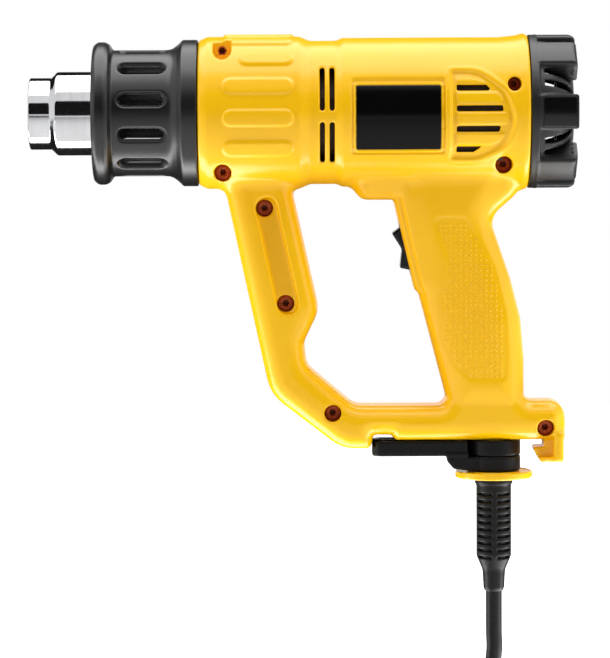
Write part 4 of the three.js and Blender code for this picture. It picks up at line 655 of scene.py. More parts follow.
def net(field, low, high, step):
    """Points and quads of the surface where field(x, y, z) is zero, all in millimetres."""
    counts = [int(math.ceil((b - a) / step)) + 1 for a, b in zip(low, high)]
    axes = [a + step * np.arange(n) for a, n in zip(low, counts)]
    values = field(axes[0][:, None, None], axes[1][None, :, None], axes[2][None, None, :])
    values = np.broadcast_to(values, counts)
    inside = values < 0
    filled = np.zeros([n - 1 for n in counts], np.uint8)
    for i, j, k in product((0, 1), repeat=3):
        filled += inside[i:counts[0] - 1 + i, j:counts[1] - 1 + j, k:counts[2] - 1 + k]
    cells = np.argwhere((filled > 0) & (filled < 8))
    number = np.full(filled.shape, -1, np.int64)
    number[tuple(cells.T)] = np.arange(len(cells))
    total = np.zeros((len(cells), 3))
    crossings = np.zeros(len(cells))
    quads = []
    for axis in range(3):
        others = [a for a in range(3) if a != axis]
        for corner in product((0, 1), repeat=2):
            start = np.zeros(3, int)
            start[others] = corner
            end = start.copy()
            end[axis] = 1
            a = values[tuple((cells + start).T)]
            b = values[tuple((cells + end).T)]
            crossed = (a < 0) != (b < 0)
            t = np.where(crossed, a / np.where(crossed, a - b, 1), 0)
            total += np.where(crossed[:, None], start + t[:, None] * (end - start), 0)
            crossings += crossed
        lower = [slice(1, None)] * 3
        upper = [slice(1, None)] * 3
        lower[axis] = slice(0, -1)
        below, above = inside[tuple(lower)], inside[tuple(upper)]
        edges = np.argwhere(below != above)
        leaving = below[tuple(edges.T)]
        edges[:, others] += 1
        ring = []
        for shift in ((0, 0), (1, 0), (1, 1), (0, 1)):
            cell = edges.copy()
            cell[:, others] -= shift
            fits = np.all((cell >= 0) & (cell < filled.shape), axis=1)
            index = np.full(len(cell), -1)
            index[fits] = number[tuple(cell[fits].T)]
            ring.append(index)
        ring = np.stack(ring, 1)
        kept = np.all(ring >= 0, axis=1)
        ring, leaving = ring[kept], leaving[kept]
        turn = leaving if axis == 1 else ~leaving
        quads.append(np.where(turn[:, None], ring[:, ::-1], ring))
    points = (cells + total / crossings[:, None]) * step + np.array(low)
    for _ in range(SETTLE_ROUNDS):
        here = field(*points.T)
        slope = np.stack([field(*(points + NUDGE * way).T) - here for way in np.eye(3)], 1) / NUDGE
        steep = np.maximum((slope ** 2).sum(1), 0.25)
        move = -(here / steep)[:, None] * slope
        reach = np.linalg.norm(move, axis=1)
        points = points + move * np.minimum(1, 0.6 * step / np.maximum(reach, 1e-9))[:, None]
    return points, np.vstack(quads)


def field_piece(name, field, low, high, step):
    """The surface of a field as a piece."""
    points, quads = net(field, low, high, step)
    mesh = bpy.data.meshes.new(name)
    mesh.vertices.add(len(points))
    mesh.vertices.foreach_set("co", (points * MM).astype(np.float32).ravel())
    mesh.loops.add(len(quads) * 4)
    mesh.loops.foreach_set("vertex_index", quads.astype(np.int32).ravel())
    mesh.polygons.add(len(quads))
    mesh.polygons.foreach_set("loop_start", np.arange(0, 4 * len(quads), 4, dtype=np.int32))
    mesh.update(calc_edges=True)
    mesh.validate()
    print(name, "faces:", len(mesh.polygons))
    return shaded(placed(name, mesh), 50)


# %% Casing: main sizes, in millimetres
AXIS_Z = 88.1
FRONT_X, WAIST_FRONT_X, WAIST_REAR_X, REAR_X = -126.4, -75.0, -61.0, 26.8
WALL = 2.6
HANDLE_HALF, HANDLE_BEVEL = 16, 5
PALM_HALF, PALM_BEVEL = 18.3, 7
BELLY_Z = 47.3


def strut_middle(z):
    """The leaning strut's middle line."""
    return -97.7 + (BELLY_Z - z) * 0.2156


frame_outline = Outline([
    (strut_middle(66.1) + 15.6, 66.1, 0), (strut_middle(66.1) - 15.6, 66.1, 0),
    (strut_middle(-43.5) - 15.6, -43.5, 20), (-60.5, -69.2, 18), (-47, -69.2, 2.5),
    (-45.4, -62.8, 1.5), (-37.6, -62.8, 1.5), (-35, -65.4, 2), (44.2, -65.4, 1),
    (44.2, -47.1, 7.5), (24.9, -47.1, 4), (24.9, -8, 150), (9, 38.6, 9), (22.5, 50.5, 8),
    (22.5, 66.1, 0), (-54.1, 66.1, 0), (-54.1, 47.3, 6.3), (-35.9, 47.3, 1.5),
    (-26.3, 5.6, 1), (-24.2, 3.4, 1), (-10.3, -49.1, 4.4), (-54.5, -49.1, 10),
    (strut_middle(-30.1) + 4.2, -30.1, 10), (strut_middle(-18.8) + 5.6, -18.8, 7),
    (strut_middle(-4) + 15.9, -4, 13),
])
palm_outline = Outline([
    (-31.9, 66.1, 0), (-31.9, 47.3, 0), (-22.3, 5.6, 8), (-8.3, -51.1, 5), (23.4, -51.1, 5),
    (23.4, -8, 120), (7.5, 38.6, 10), (16.5, 51.5, 6), (16.5, 66.1, 0),
])
hook_outline = Outline([
    (34.3, -61.4, 0), (34.3, -69, 0.6), (28.8, -69, 1), (32.8, -75.7, 1.2), (43.3, -75.7, 1.2),
    (43.3, -61.4, 0),
], margin=30)
hook_rim_outline = Outline([
    (38.6, -61.4, 0), (38.6, -73.4, 1), (31.4, -73.4, 0), (32.8, -75.7, 0.8),
    (43.3, -75.7, 1.2), (43.3, -61.4, 0),
], margin=30)
profile_x = np.arange(-140, 40, 0.1)
profile_radius = np.interp(
    profile_x,
    (-126.4, -122.4, -79.5, -74.6, -62.5, -59.5, 13.5, 20.5, 24.4, 26.8),
    (33.8, 35.55, 35.55, 33.5, 33.5, 34.8, 34.8, 35.5, 36.5, 36.0),
)
window = np.hanning(24)
profile_radius = np.convolve(np.pad(profile_radius, 12, mode="edge"), window / window.sum(),
                             mode="same")[12:-12]


def from_axis(y, z):
    """Distance from the barrel's axis."""
    return np.hypot(y, z - AXIS_Z)


# %% Casing: what stands out of the barrel and what is sunk in it
PADS = [(-27.3, -98.5, 16.9), (-3.5, -98.5, 16.9), (20.4, -98.5, 16.9), (44.3, -94.8, 13.2),
        (67.5, -98.5, 16.9), (90.0, -98.5, 16.9)]
PAD_HALF_WIDTH, PAD_HEIGHT, PAD_SLOPE, PAD_REACH = 4.5, 1.02, 1.5, 36
VENT_ROWS = [99.2, 89.8, 80.4, 71.0]
VENT_PITCH = 9.4
vent_area = Outline([
    (-10.4, 66.0, 1.5), (3, 66.0, 12), (16.6, 72.6, 12), (20.8, 84.5, 14), (16.4, 97.6, 12),
    (3, 107.4, 14), (-10.4, 107.4, 1.5),
])
vent_reach = Outline([
    (-7.2, 68, 0), (-2, 68, 0), (4.3, 72.3, 0), (12.3, 79.1, 3), (14.4, 86.5, 4), (13.9, 91.1, 2),
    (8.9, 97.9, 3), (5, 102, 0), (-7.2, 102, 0),
], margin=10)
BADGE_X, BADGE_Z, BADGE_HALF_X, BADGE_HALF_Z = -33.9, 85.8, 19.5, 14.75
WAIST_SLOTS = [(x, z, length) for x in (-64.4, -68.9) for z, length in ((98.8, 19.6), (74.6, 18.4))]
PATCH = Outline([
    (-15.8, 39.7, 2.5), (-18.0, 36.5, 2), (-11.3, 19.2, 6), (-11.3, 11.3, 4), (-15.4, 3.9, 3),
    (-13.9, -17.8, 6), (-9, -30, 8), (-0.4, -37.3, 2), (16.4, -37.3, 3), (17.0, -25.9, 0),
    (16.4, -6, 30), (11, 18.1, 20), (1.4, 33.5, 8), (-2.3, 39.7, 3),
])
SWITCH_X, SWITCH_Z, SWITCH_COS, SWITCH_SIN = -30.605, 24.301, 0.9745, 0.2243


def at_switch(x, z):
    """Depth behind the switch panel and height along it."""
    dx, dz = x - SWITCH_X, z - SWITCH_Z
    return dx * SWITCH_COS + dz * SWITCH_SIN, -dx * SWITCH_SIN + dz * SWITCH_COS


def on_badge(x, z, wider, corner):
    """How far a place is outside a frame that is wider than the badge."""
    return rounded_box(x - BADGE_X, z - BADGE_Z, BADGE_HALF_X + wider, BADGE_HALF_Z + wider, corner)


def barrel_field(x, y, z):
    """The barrel with its pads, badge surround and vent panel."""
    out = from_axis(y, z)
    angle = np.degrees(np.arctan2(z - AXIS_Z, np.maximum(y, 1e-6)))
    radius = np.interp(x, profile_x, profile_radius) + 0 * out
    for at, middle_x, half_length in PADS:
        around = (angle - at) * math.pi / 180 * PAD_REACH
        inside = -stadium(x - middle_x, around, half_length, PAD_HALF_WIDTH)
        radius = radius + PAD_HEIGHT * eased(inside, 0, PAD_SLOPE)
    surround = rounded_box(x - BADGE_X, z - 86.3, 22.3, 17.9, 2.0)
    sunk = 1.0 * eased(-surround, 0, 1.6) * (1 - eased(-on_badge(x, z, 1.5, 1.5), 0, 0.8))
    sunk = sunk + 0.6 * eased(-on_badge(x, z, 0.1, 0.8), -0.1, 0.3)
    area = vent_area(x, z)
    panel = 1.2 * eased(-area, 0, 1.6)
    for row in (*VENT_ROWS, VENT_ROWS[-1] - VENT_PITCH):
        bar = overlap(np.abs(z - row - VENT_PITCH / 2) - 2.6, area + 3.4, -8.9 - x)
        panel = panel - 0.75 * eased(-bar, -0.5, 0.5)
    rim = np.abs(area - 0.9) - 0.9
    panel = panel - 0.35 * eased(-rim, -0.7, 0.6)
    radius = radius - (sunk + panel) * eased(y, 8, 14)
    return softest((out - radius) * 0.98, np.maximum(FRONT_X - x, x - REAR_X), 1.2)


def casing_outer(x, y, z):
    """The whole casing's outside, for y measured outward from the middle plane."""
    strut = slab(frame_outline, x, y, z, HANDLE_HALF, HANDLE_BEVEL, 3)
    palm = slab(palm_outline, x, y, z, PALM_HALF, PALM_BEVEL, 3.5)
    palm = palm + 0.34 * eased(-PATCH(x, z), -0.3, 0.9)
    depth, rise = at_switch(x, z)
    bezel = overlap(12.6 - y, np.abs(depth - 0.8) - 2.8, np.abs(rise + 1) - 25)
    handle = joined(cut(strut, bezel, 1.2), palm, 2.2)
    hook = slab(hook_outline, x, y, z, 8, 0.4, 0.8)
    hook = joined(hook, slab(hook_rim_outline, x, y, z, 15, 1, 1), 0.6)
    return joined(joined(barrel_field(x, y, z), handle, 4.5), hook, 1)


def casing_inner(x, y, z):
    """The hollow inside it."""
    bore = from_axis(y, z) - np.interp(
        x, (FRONT_X, WAIST_FRONT_X - 4, WAIST_FRONT_X, WAIST_REAR_X - 2.7, WAIST_REAR_X, 14, 24.4),
        (32.9, 32.9, 30.9, 30.9, 32.2, 32.2, 33.4))
    strut = slab(frame_outline, x, y, z, HANDLE_HALF, HANDLE_BEVEL, 0.5)
    palm = slab(palm_outline, x, y, z, PALM_HALF, PALM_BEVEL, 0.5)
    return np.minimum(np.maximum(bore, FRONT_X + 3 - x), np.minimum(strut, palm) + WALL)


# %% Casing: the two halves
SCREWS = [
    (-115.1, 116.9, 11, 4.0), (-115.1, 60.5, 11, 4.0), (strut_middle(43.8) + 1, 43.8, 6, 4.0),
    (strut_middle(-0.7) + 1, -0.7, 6, 4.0), (-64.6, -52.1, 6, 4.0), (34.8, -59.5, 6, 4.0),
    (14.9, 63.7, 11, 4.0), (19.4, 100.9, 20, 3.2),
]
TOP_X, TOP_Z, TOP_HALF = -115.1, 116.9, 4.2
CHANNEL_X, CHANNEL_Z, CHANNEL_HALF = -85.35, -0.7, 5.4
CHANNEL_RUN = np.array((-94.93 - CHANNEL_X, 43.8 - CHANNEL_Z))
SHANK_HOLE, BOSS_WALL, SLOTS_FROM, VENT_HALF, WAIST_SLOT_HALF = 2.0, 1.6, 18, 1.3, 1.15
SOCKET_HALF_HEIGHT, SOCKET_HALF_WIDTH, MOUTH, SPIGOT_HOLE, SEAM_GAP = 12.9, 7.6, 19.9, 8.2, 0.06


def near_side(plastic, outer, x, y, z):
    """The pocket over the top screw and the channel down the strut, on the near half alone."""
    pocket = np.minimum(np.hypot(x - TOP_X, z - TOP_Z) - TOP_HALF,
                        np.maximum(np.abs(x - TOP_X) - TOP_HALF, TOP_Z - z))
    plastic = cut(plastic, np.maximum(pocket, 13.7 - y), 0.7)
    length = np.hypot(*CHANNEL_RUN)
    ux, uz = CHANNEL_RUN / length
    along = (x - CHANNEL_X) * ux + (z - CHANNEL_Z) * uz - length / 2
    across = (x - CHANNEL_X) * uz - (z - CHANNEL_Z) * ux
    channel = stadium(along, across, length / 2 + CHANNEL_HALF, CHANNEL_HALF)
    channel = channel + 0.3 * np.clip(HANDLE_HALF - y, -2, 4)
    plastic = np.minimum(plastic, overlap(channel - 2.5, 10.2 - y, outer))
    return cut(plastic, np.maximum(channel, HANDLE_HALF - 3.2 - y), 0.6)


def shell_field(near):
    """The field of one half; the near one has the recesses that the screws are driven from."""
    def field(x, y, z):
        y = -y if near else y
        outer = casing_outer(x, y, z)
        plastic = np.maximum(outer, -casing_inner(x, y, z))
        for sx, sz, seat, recess in SCREWS:
            boss = np.maximum(np.hypot(x - sx, z - sz) - recess - BOSS_WALL, outer)
            plastic = np.minimum(plastic, boss)
        if near:
            plastic = near_side(plastic, outer, x, y, z)
        for sx, sz, seat, recess in SCREWS:
            away = np.hypot(x - sx, z - sz)
            if near:
                recess = 1.5 if (sx, sz) == (TOP_X, TOP_Z) else recess
                plastic = cut(plastic, np.maximum(away - recess, seat - y), 0.6)
                plastic = cut(plastic, away - SHANK_HOLE)
            else:
                plastic = cut(plastic, np.maximum(away - SHANK_HOLE, y - 10))
        for row in VENT_ROWS:
            slot = overlap(np.abs(z - row) - VENT_HALF, vent_reach(x, z), SLOTS_FROM - y)
            plastic = cut(plastic, slot, 0.5)
        for sx, sz, length in WAIST_SLOTS:
            slot = stadium(z - sz, x - sx, length / 2, WAIST_SLOT_HALF)
            plastic = cut(plastic, np.maximum(slot, SLOTS_FROM - y), 1.1)
        depth, rise = at_switch(x, z)
        socket = overlap(-1 - depth, depth - 17, np.abs(rise) - SOCKET_HALF_HEIGHT,
                         y - SOCKET_HALF_WIDTH)
        plastic = cut(plastic, socket, 0.4)
        plastic = cut(plastic, np.maximum(from_axis(y, z) - MOUTH, x - FRONT_X - 4), 0.5)
        plastic = cut(plastic, np.maximum(np.hypot(x - EXIT_X, y) - SPIGOT_HOLE, z + 60), 0.3)
        return softest(plastic, SEAM_GAP - y, 0.35)
    return field


SHELL_STEP = 0.8
for where, near, low_y, high_y in (("left", True, -38.2, 0.9), ("right", False, -0.9, 38.2)):
    shell = field_piece(f"casing_{where}", shell_field(near), (-127.6, low_y, -77.4),
                        (46.0, high_y, 126.2), SHELL_STEP)
    dress(shell, "casing", "casing", casing_plastic, f"{where}_shell")

# %% [markdown]
# The heat guard is a black collar of revolution with eleven bevelled slots. Its section is
# one outline in length and radius; a slot is a stadium that is repeated round the axis and
# widens towards the outside, which gives the bevel.

# %% Heat guard
guard_section = Outline([
    (-175.6, 29.6, 1.2), (-172.6, 27.3, 1.5), (-128.9, 27.3, 0.8), (-128.9, 19.9, 0.5),
    (-126.7, 19.9, 0.4), (-126.7, 34.2, 0.6), (-133.8, 34.2, 0.8), (-136.2, 31.9, 0.6),
    (-139.4, 29.5, 7), (-166.2, 29.5, 0.8), (-168.0, 32.2, 1.2), (-170.0, 33.3, 2.2),
    (-173.4, 33.3, 2.4), (-175.6, 31.6, 1.6),
], margin=6)
SLOT_COUNT, SLOT_X, SLOT_HALF_LENGTH = 11, -152.35, 11.3


def round_the_axis(y, z, count, first):
    """Distance across and outward at the nearest of several places round the barrel's axis."""
    out = from_axis(y, z)
    turn = np.arctan2(z - AXIS_Z, -y) * count / (2 * math.pi) - first
    angle = (turn - np.round(turn)) * 2 * math.pi / count
    return out * np.sin(angle), out * np.cos(angle)


def axis_piece(name, field, front, rear, radius, step):
    """The piece of a field within a box round the barrel's axis."""
    return field_piece(name, field, (front, -radius, AXIS_Z - radius),
                       (rear, radius, AXIS_Z + radius), step)


def guard_field(x, y, z):
    across, out = round_the_axis(y, z, SLOT_COUNT, 0.4)
    wider = np.clip(out - 28.3, -1, 2.4) * 0.8
    slot = stadium(x - SLOT_X, across, SLOT_HALF_LENGTH - 0.6 + wider, 3.2 + wider)
    return cut(guard_section(x, from_axis(y, z)), np.maximum(slot, 24 - out), 0.5)


guard = axis_piece("heat_guard_collar", guard_field, -176.8, -125.6, 35.2, 0.6)
dress(guard, "guard", "black_trim", black_plastic, "heat_guard")

# %% [markdown]
# The outlet was spun from tube, so it is turned here too: a closed section of wall, with a
# rolled lip, carried round the axis. The seam on the tip is a small dent at one angle, and
# the angles are spaced closely there.

# %% Turned pieces
def set_on(axis, at, along, u, v):
    """A point along and across an axis, X, Y or Z, from a place."""
    offset = {"x": (along, u, v), "y": (u, along, v), "z": (v, u, along)}[axis]
    return [a + b for a, b in zip(at, offset)]


def turned(name, section, axis="x", at=(0, 0, AXIS_Z), sides=96, angles=None, dent=None):
    """A section of [along, radius, corner radius], carried round an axis along X, Y or Z."""
    profile = filleted(section)
    if angles is None:
        angles = np.linspace(0, 2 * math.pi, sides, endpoint=False)
    points = []
    for t in angles:
        for along, radius in profile:
            radius = max(radius, 0)
            if dent and radius:
                radius += dent(along, radius, t)
            points.append(set_on(axis, at, along, -radius * math.cos(t), radius * math.sin(t)))
    count = len(profile)
    faces = tube_faces(len(angles), count, closed=True, capped=False)
    faces = [face for face in faces if max(profile[i % count][1] for i in face) > 0]
    return mesh_piece(name, points, faces)


# %% Outlet tube
SEAM, SEAM_HALF = math.radians(-2.5), math.radians(1.1)
SEAM_DEPTH, TIP_RADIUS, TIP_REAR = 0.45, 16.2, -195.6
seam_angles = np.sort(np.concatenate([
    np.linspace(0, 2 * math.pi, 110, endpoint=False),
    [2 * math.pi + SEAM + math.radians(a) for a in (-1.5, -1.0, -0.5, 0.0, 0.5, 1.0, 1.4)],
]))


def seam_dent(along, radius, angle):
    """A lock seam pressed into the tip."""
    off = abs((angle - SEAM + math.pi) % (2 * math.pi) - math.pi)
    if radius < TIP_RADIUS or along > TIP_REAR:
        return 0
    return -SEAM_DEPTH * max(0, 1 - off / SEAM_HALF)


outlet = turned("outlet_tube", [
    (-205.5, 15.2, 0.75), (-203.9, 15.2, 0.6), (-203.4, 15.8, 0.5), (-196.0, 15.8, 1.5),
    (-192.0, 18.6, 2), (-123.2, 18.6, 0.3), (-121.6, 18.6, 0), (-121.6, 22, 0.3),
    (-123.1, 22, 0.3), (-123.1, 19.6, 0.2), (-192.6, 19.6, 3.0), (-193.8, 18.5, 0.8),
    (-195.5, 16.8, 1.2), (-205.5, 16.8, 0.85),
], angles=seam_angles, dent=seam_dent)
dress(outlet, "casing", "outlet_steel", steel, "outlet_nozzle")

# %% [markdown]
# The end cap is a domed grille inside a ring, with eight feet round it on which the tool can
# stand upright while it cools. The dial sits in a well at its middle.

# %% End cap
CAP_FRONT, CAP_DOME, CAP_FEET, CAP_HUB = 27.1, 31.2, 48.9, 47.9
WELL, HUB, RING_INSIDE = 13, 15.2, 30.9
FOOT_HALF, FOOT_ROOT, FOOT_TOP, POST_Y, POST_RADIUS, POST_HOLE = 8, 22, 35.75, 18, 3, 1.35
GRILLE_RADIUS, GRILLE_HALF_LENGTH, GRILLE_HALF_WIDTH = 25.3, 8.1, 1.45
FOOT_ANGLES = [0, 52, 90, 128, 180, 232, 270, 308]
GRILLE_ANGLES = [24, 35, 145, 156, 204, 215, 325, 336]


def dome(base, hub, depth):
    """Points on a quarter of an ellipse, from the hub out to the ring."""
    return [(CAP_DOME + depth * math.sin(a), hub + (base - hub) * math.cos(a), 0)
            for a in np.linspace(math.pi / 2, 0, 10)]


cap_section = Outline([
    (24.2, RING_INSIDE, 0.2), *dome(RING_INSIDE, HUB, 14.5)[::-1], (40.4, HUB, 0.2),
    (40.4, WELL, 0.2), (CAP_HUB, WELL, 0.6), *dome(33.2, 16, CAP_HUB - CAP_DOME),
    (CAP_DOME, 35.8, 0.7), (CAP_FRONT, 35.8, 0.4), (CAP_FRONT, 33.1, 0), (24.2, 33.1, 0.3),
], margin=6)
cap_inner = Outline([
    (20, -4, 0), (CAP_HUB - 2.2, -4, 0), *dome(RING_INSIDE, HUB, 14.5), (20, RING_INSIDE, 0),
], margin=6)


def facing(y, z, degrees):
    """How far out and across a place is, seen along a spoke at an angle round the axis."""
    c, s = math.cos(math.radians(degrees)), math.sin(math.radians(degrees))
    return -y * c + (z - AXIS_Z) * s, y * s + (z - AXIS_Z) * c


def cap_field(x, y, z):
    radius = from_axis(y, z)
    body = cap_section(x, radius)
    inner = cap_inner(x, radius)
    for angle in FOOT_ANGLES:
        out, across = facing(y, z, angle)
        foot = softest(np.abs(across) - FOOT_HALF, FOOT_ROOT - out, 1.2)
        end = x - CAP_FEET
        if angle % 180:
            end = softest(end, (x + out - CAP_FEET - 34.1) * 0.7071, 1.5)
        foot = softest(foot, softest(end, radius - FOOT_TOP, 1.4), 1.4)
        foot = overlap(foot, CAP_DOME - 1 - x, -inner, WELL - radius)
        body = joined(body, foot, 0.7)
        if angle % 180 == 0:
            tray = rounded_box(x - 40.2, across, 7.9, 7.2, 0.8)
            body = cut(body, np.maximum(tray, 35.35 - radius), 0.25)
    for angle in GRILLE_ANGLES:
        out, across = facing(y, z, angle)
        slot = stadium(out - GRILLE_RADIUS, across, GRILLE_HALF_LENGTH, GRILLE_HALF_WIDTH)
        body = cut(body, np.maximum(slot, 33.4 - x), 0.5)
    posts = np.hypot(np.abs(y) - POST_Y, z - AXIS_Z)
    body = np.minimum(body, overlap(posts - POST_RADIUS, 33.3 - x, inner - 1.5))
    return np.maximum(body, -np.maximum(posts - POST_HOLE, x - 42.1))


cap = axis_piece("rear_cap", cap_field, 23.4, 49.9, 36.8, 0.55)
dress(cap, "casing", "black_trim", cap_plastic, "end_cap")

# %% Small domes: studs on the feet and the pimples of the grip
DOME_RINGS, DOME_SIDES, DOME_ROOT = 3, 8, 0.25


def domes(name, places, radius, height):
    """Low round bumps at places, each a point and the way out of the surface there."""
    points, faces = [], []
    for place, way in places:
        way = np.array(way, float) / np.linalg.norm(way)
        across = np.cross(way, (0.31, 0.2, 0.93))
        across /= np.linalg.norm(across)
        up = np.cross(way, across)
        first = len(points)
        for ring in range(DOME_RINGS):
            bend = ring / DOME_RINGS * math.pi / 2
            lift = -DOME_ROOT + (height + DOME_ROOT) * math.sin(bend)
            for side in range(DOME_SIDES):
                t = 2 * math.pi * side / DOME_SIDES
                points.append(np.array(place) + lift * way + radius * math.cos(bend)
                              * (math.cos(t) * across + math.sin(t) * up))
        points.append(np.array(place) + height * way)
        made = [[first + i for i in face] for face in tube_faces(DOME_RINGS, DOME_SIDES)]
        *walls, root, rim = made
        tip = [(a, b, len(points) - 1) for a, b in zip(rim, rim[1:] + rim[:1])]
        faces += [*walls, *tip, root]
    return mesh_piece(name, points, faces, 60)


stud_places = []
for angle in FOOT_ANGLES[1::2]:
    c, s = math.cos(math.radians(angle)), math.sin(math.radians(angle))
    for side, out in product((-1, 1), (25.2, 27.6, 30.0)):
        y = -c * out + s * side * 7.95
        z = s * out + c * side * 7.95
        stud_places.append(((46.6, y, AXIS_Z + z), (0, s * side, c * side)))
studs = domes("cap_studs", stud_places, 0.55, 0.2)
dress(studs, "casing", "black_trim", smooth_black)

# %% [markdown]
# Three kinds of curved plate lie on the barrel's sides: the bare black badges, each in a
# pocket with a thin raised lip, the glossy faces of the two level feet, and a dark gauze
# behind the vents that keeps lint out of the blower.

# %% Plates on both sides: middle and half size along x and z, two radii, step, slot, finish
PLATES = {
    "foot_plate": ((40.2, AXIS_Z), (7.75, 7.05), (35.1, 35.7), 0.45, "black_trim", smooth_black),
    "badge_plate": ((BADGE_X, BADGE_Z), (BADGE_HALF_X, BADGE_HALF_Z), (34.2, 35.0), 0.45,
                    "badge", badge_plate),
    "vent_gauze": ((3.0, 85.1), (11.4, 19.5), (30.7, 31.6), 0.5, "black_trim", dark_gauze),
}


def curved_plate(name, middle, half, radii, side, step):
    """A plate with round corners that lies on the barrel's side, on -Y or +Y."""
    inner, outer = radii

    def field(x, y, z):
        out = from_axis(y, z)
        flat = rounded_box(x - middle[0], z - middle[1], *half, 0.8)
        flat = softest(flat, np.maximum(out - outer, inner - out), 0.5)
        return np.maximum(flat, 12 - y * side)

    depth = outer - math.sqrt(outer ** 2 - (abs(middle[1] - AXIS_Z) + half[1]) ** 2)
    low_y, high_y = sorted((side * (inner - depth - 1.2), side * (outer + 1.2)))
    low_x, low_z = (m - h - 1.2 for m, h in zip(middle, half))
    high_x, high_z = (m + h + 1.2 for m, h in zip(middle, half))
    return field_piece(name, field, (low_x, low_y, low_z), (high_x, high_y, high_z), step)


for (kind, (middle, half, radii, step, slot, material)), (side, where) in product(
        PLATES.items(), SIDES):
    plate = curved_plate(f"{where}_{kind}", middle, half, radii, side, step)
    nodes = [f"{where}_badge"] if slot == "badge" else []
    dress(plate, "casing", slot, material, *nodes)

# %% [markdown]
# The dial has thumb flutes round its rim, a raised pointer and plain numbers for the heat
# settings, all of which turn with it.

# %% Heat dial
DIAL_FRONT, DIAL_REAR, DIAL_RADIUS, NUMBER_RING = 40.2, 48.2, 12, 9.4
FLUTES, FLUTE_RING, FLUTE_RADIUS, SHAFT_HOLE = 20, 12.75, 1.25, 3.15


def dial_field(x, y, z):
    radius = from_axis(y, z)
    across, out = round_the_axis(y, z, FLUTES, 0)
    body = softest(radius - DIAL_RADIUS, np.maximum(DIAL_FRONT - x, x - DIAL_REAR), 0.9)
    flute = np.hypot(across, out - FLUTE_RING) - FLUTE_RADIUS
    body = cut(body, np.maximum(flute, x - DIAL_REAR + 0.9), 0.4)
    body = cut(body, np.hypot(radius, x - DIAL_REAR - 20) - 20.7, 0.4)
    ridge = rounded_box(y, z - AXIS_Z - 4.2, 0.75, 3.0, 0.7)
    body = joined(body, overlap(ridge, 46 - x, x - DIAL_REAR - 0.45), 0.3)
    return np.maximum(body, -np.maximum(radius - SHAFT_HOLE, x - 46.35))


dial = axis_piece("heat_dial", dial_field, 39.2, 49.2, 13.2, 0.4)
dress(dial, "dial", "dial", dial_grey, "temperature_dial")
number_faces, number_points = [], []
for number in range(1, 10):
    letters = bpy.data.curves.new("number", "FONT")
    letters.body = str(number)
    letters.size = 0.0025
    letters.extrude = 0.00012
    letters.align_x, letters.align_y = "CENTER", "CENTER"
    holder = placed("number", letters)
    shape = holder.evaluated_get(bpy.context.evaluated_depsgraph_get()).to_mesh()
    turn = math.radians(-150 + 37.5 * (number - 1))
    first = len(number_points)
    for vertex in shape.vertices:
        u, v, lift = (value / MM for value in vertex.co)
        across = (v + NUMBER_RING) * math.sin(turn) + u * math.cos(turn)
        up = (v + NUMBER_RING) * math.cos(turn) - u * math.sin(turn)
        number_points.append((DIAL_REAR + 0.02 + lift, across, AXIS_Z + up))
    number_faces += [[first + i for i in face.vertices] for face in shape.polygons]
    bpy.data.objects.remove(holder)
numbers = mesh_piece("dial_numbers", number_points, number_faces)
dress(numbers, "dial", "dial", white_ink)
print("numbers on the dial:", len(number_faces), "faces")

# %% [markdown]
# The screws have a round head and a small star socket that shows as a dark dot from outside.
# Their brown colour is painted shade, standing in for the shade deep in their recesses. Head,
# socket and shank are one turned skin whose radius is pushed in and out round the socket; the
# thread is a real helix, drawn as a wave of the radius.

# %% Screws
SCREW_SIDES, THREAD_PITCH, LOBES, LOBE_DEPTH, THREAD_DEPTH = 30, 1.1, 6, 0.16, 0.28


def screw_piece(name, place, axis, sizes, material, node, deep=1.3):
    """A screw driven along +Y or +X from its head's top, at the place. Its sizes are the head's
    radius and height, the shank's radius, the whole length and the socket's radius."""
    head, height, shank, length, socket = sizes
    rows = [(deep, 0.0, 0), (deep, socket * 0.6, 1), (deep, socket, 1), (0.12, socket * 1.04, 1),
            (0.0, socket * 1.15, 0.4), (0.0, head * 0.72, 0), (0.12, head * 0.88, 0),
            (0.4, head * 0.97, 0), (0.8, head, 0), (height - 0.15, head, 0),
            (height, head - 0.15, 0), (height, shank, 0)]
    steps = int((length - height - 1) / (THREAD_PITCH / 4))
    rows += [(height + 0.4 + THREAD_PITCH / 4 * i, shank, -1) for i in range(steps)]
    rows += [(length - 0.3, shank * 0.6, 0), (length, 0.0, 0)]
    points = []
    for (along, radius, kind), i in product(rows, range(SCREW_SIDES)):
        t = 2 * math.pi * i / SCREW_SIDES
        if kind > 0:
            radius *= 1 + LOBE_DEPTH * kind * math.cos(LOBES * t)
        if kind < 0:
            wave = 0.5 + 0.5 * math.cos(2 * math.pi * along / THREAD_PITCH - t)
            radius -= THREAD_DEPTH * shank * wave
        points.append(set_on(axis, place, along, radius * math.cos(t), radius * math.sin(t)))
    piece = mesh_piece(name, points, tube_faces(len(rows), SCREW_SIDES, capped=False), 40)
    dress(piece, "casing", "fasteners", material, node)


for i, (sx, sz, seat, recess) in enumerate(SCREWS, 1):
    screw_piece(f"screw_{i}", (sx, -(seat + 2.5), sz), "y",
                (recess - 0.2, 2.2, 1.7, seat + 11.4, 1.45), screw_painted_shade, f"case_screw_{i}", 5.6)
for i, side in enumerate((-1, 1), 1):
    screw_piece(f"small_board_screw_{i}", (29.55, side * POST_Y, AXIS_Z), "x",
                (2.3, 1.6, 1.2, 11.8, 0.8), zinc, f"board_screw_{i}")
    screw_piece(f"small_clamp_screw_{i}", (EXIT_X + side * 9.5, -10.1, -55), "y",
                (2.5, 1.6, 1.4, 16.2, 0.9), zinc, f"clamp_screw_{i}")

# %% [markdown]
# The rocker is a V whose two wings are pressed in turn. It is drawn in the switch's own
# frame, depth behind the panel and height along it, and has fine ribs for the fingertip.

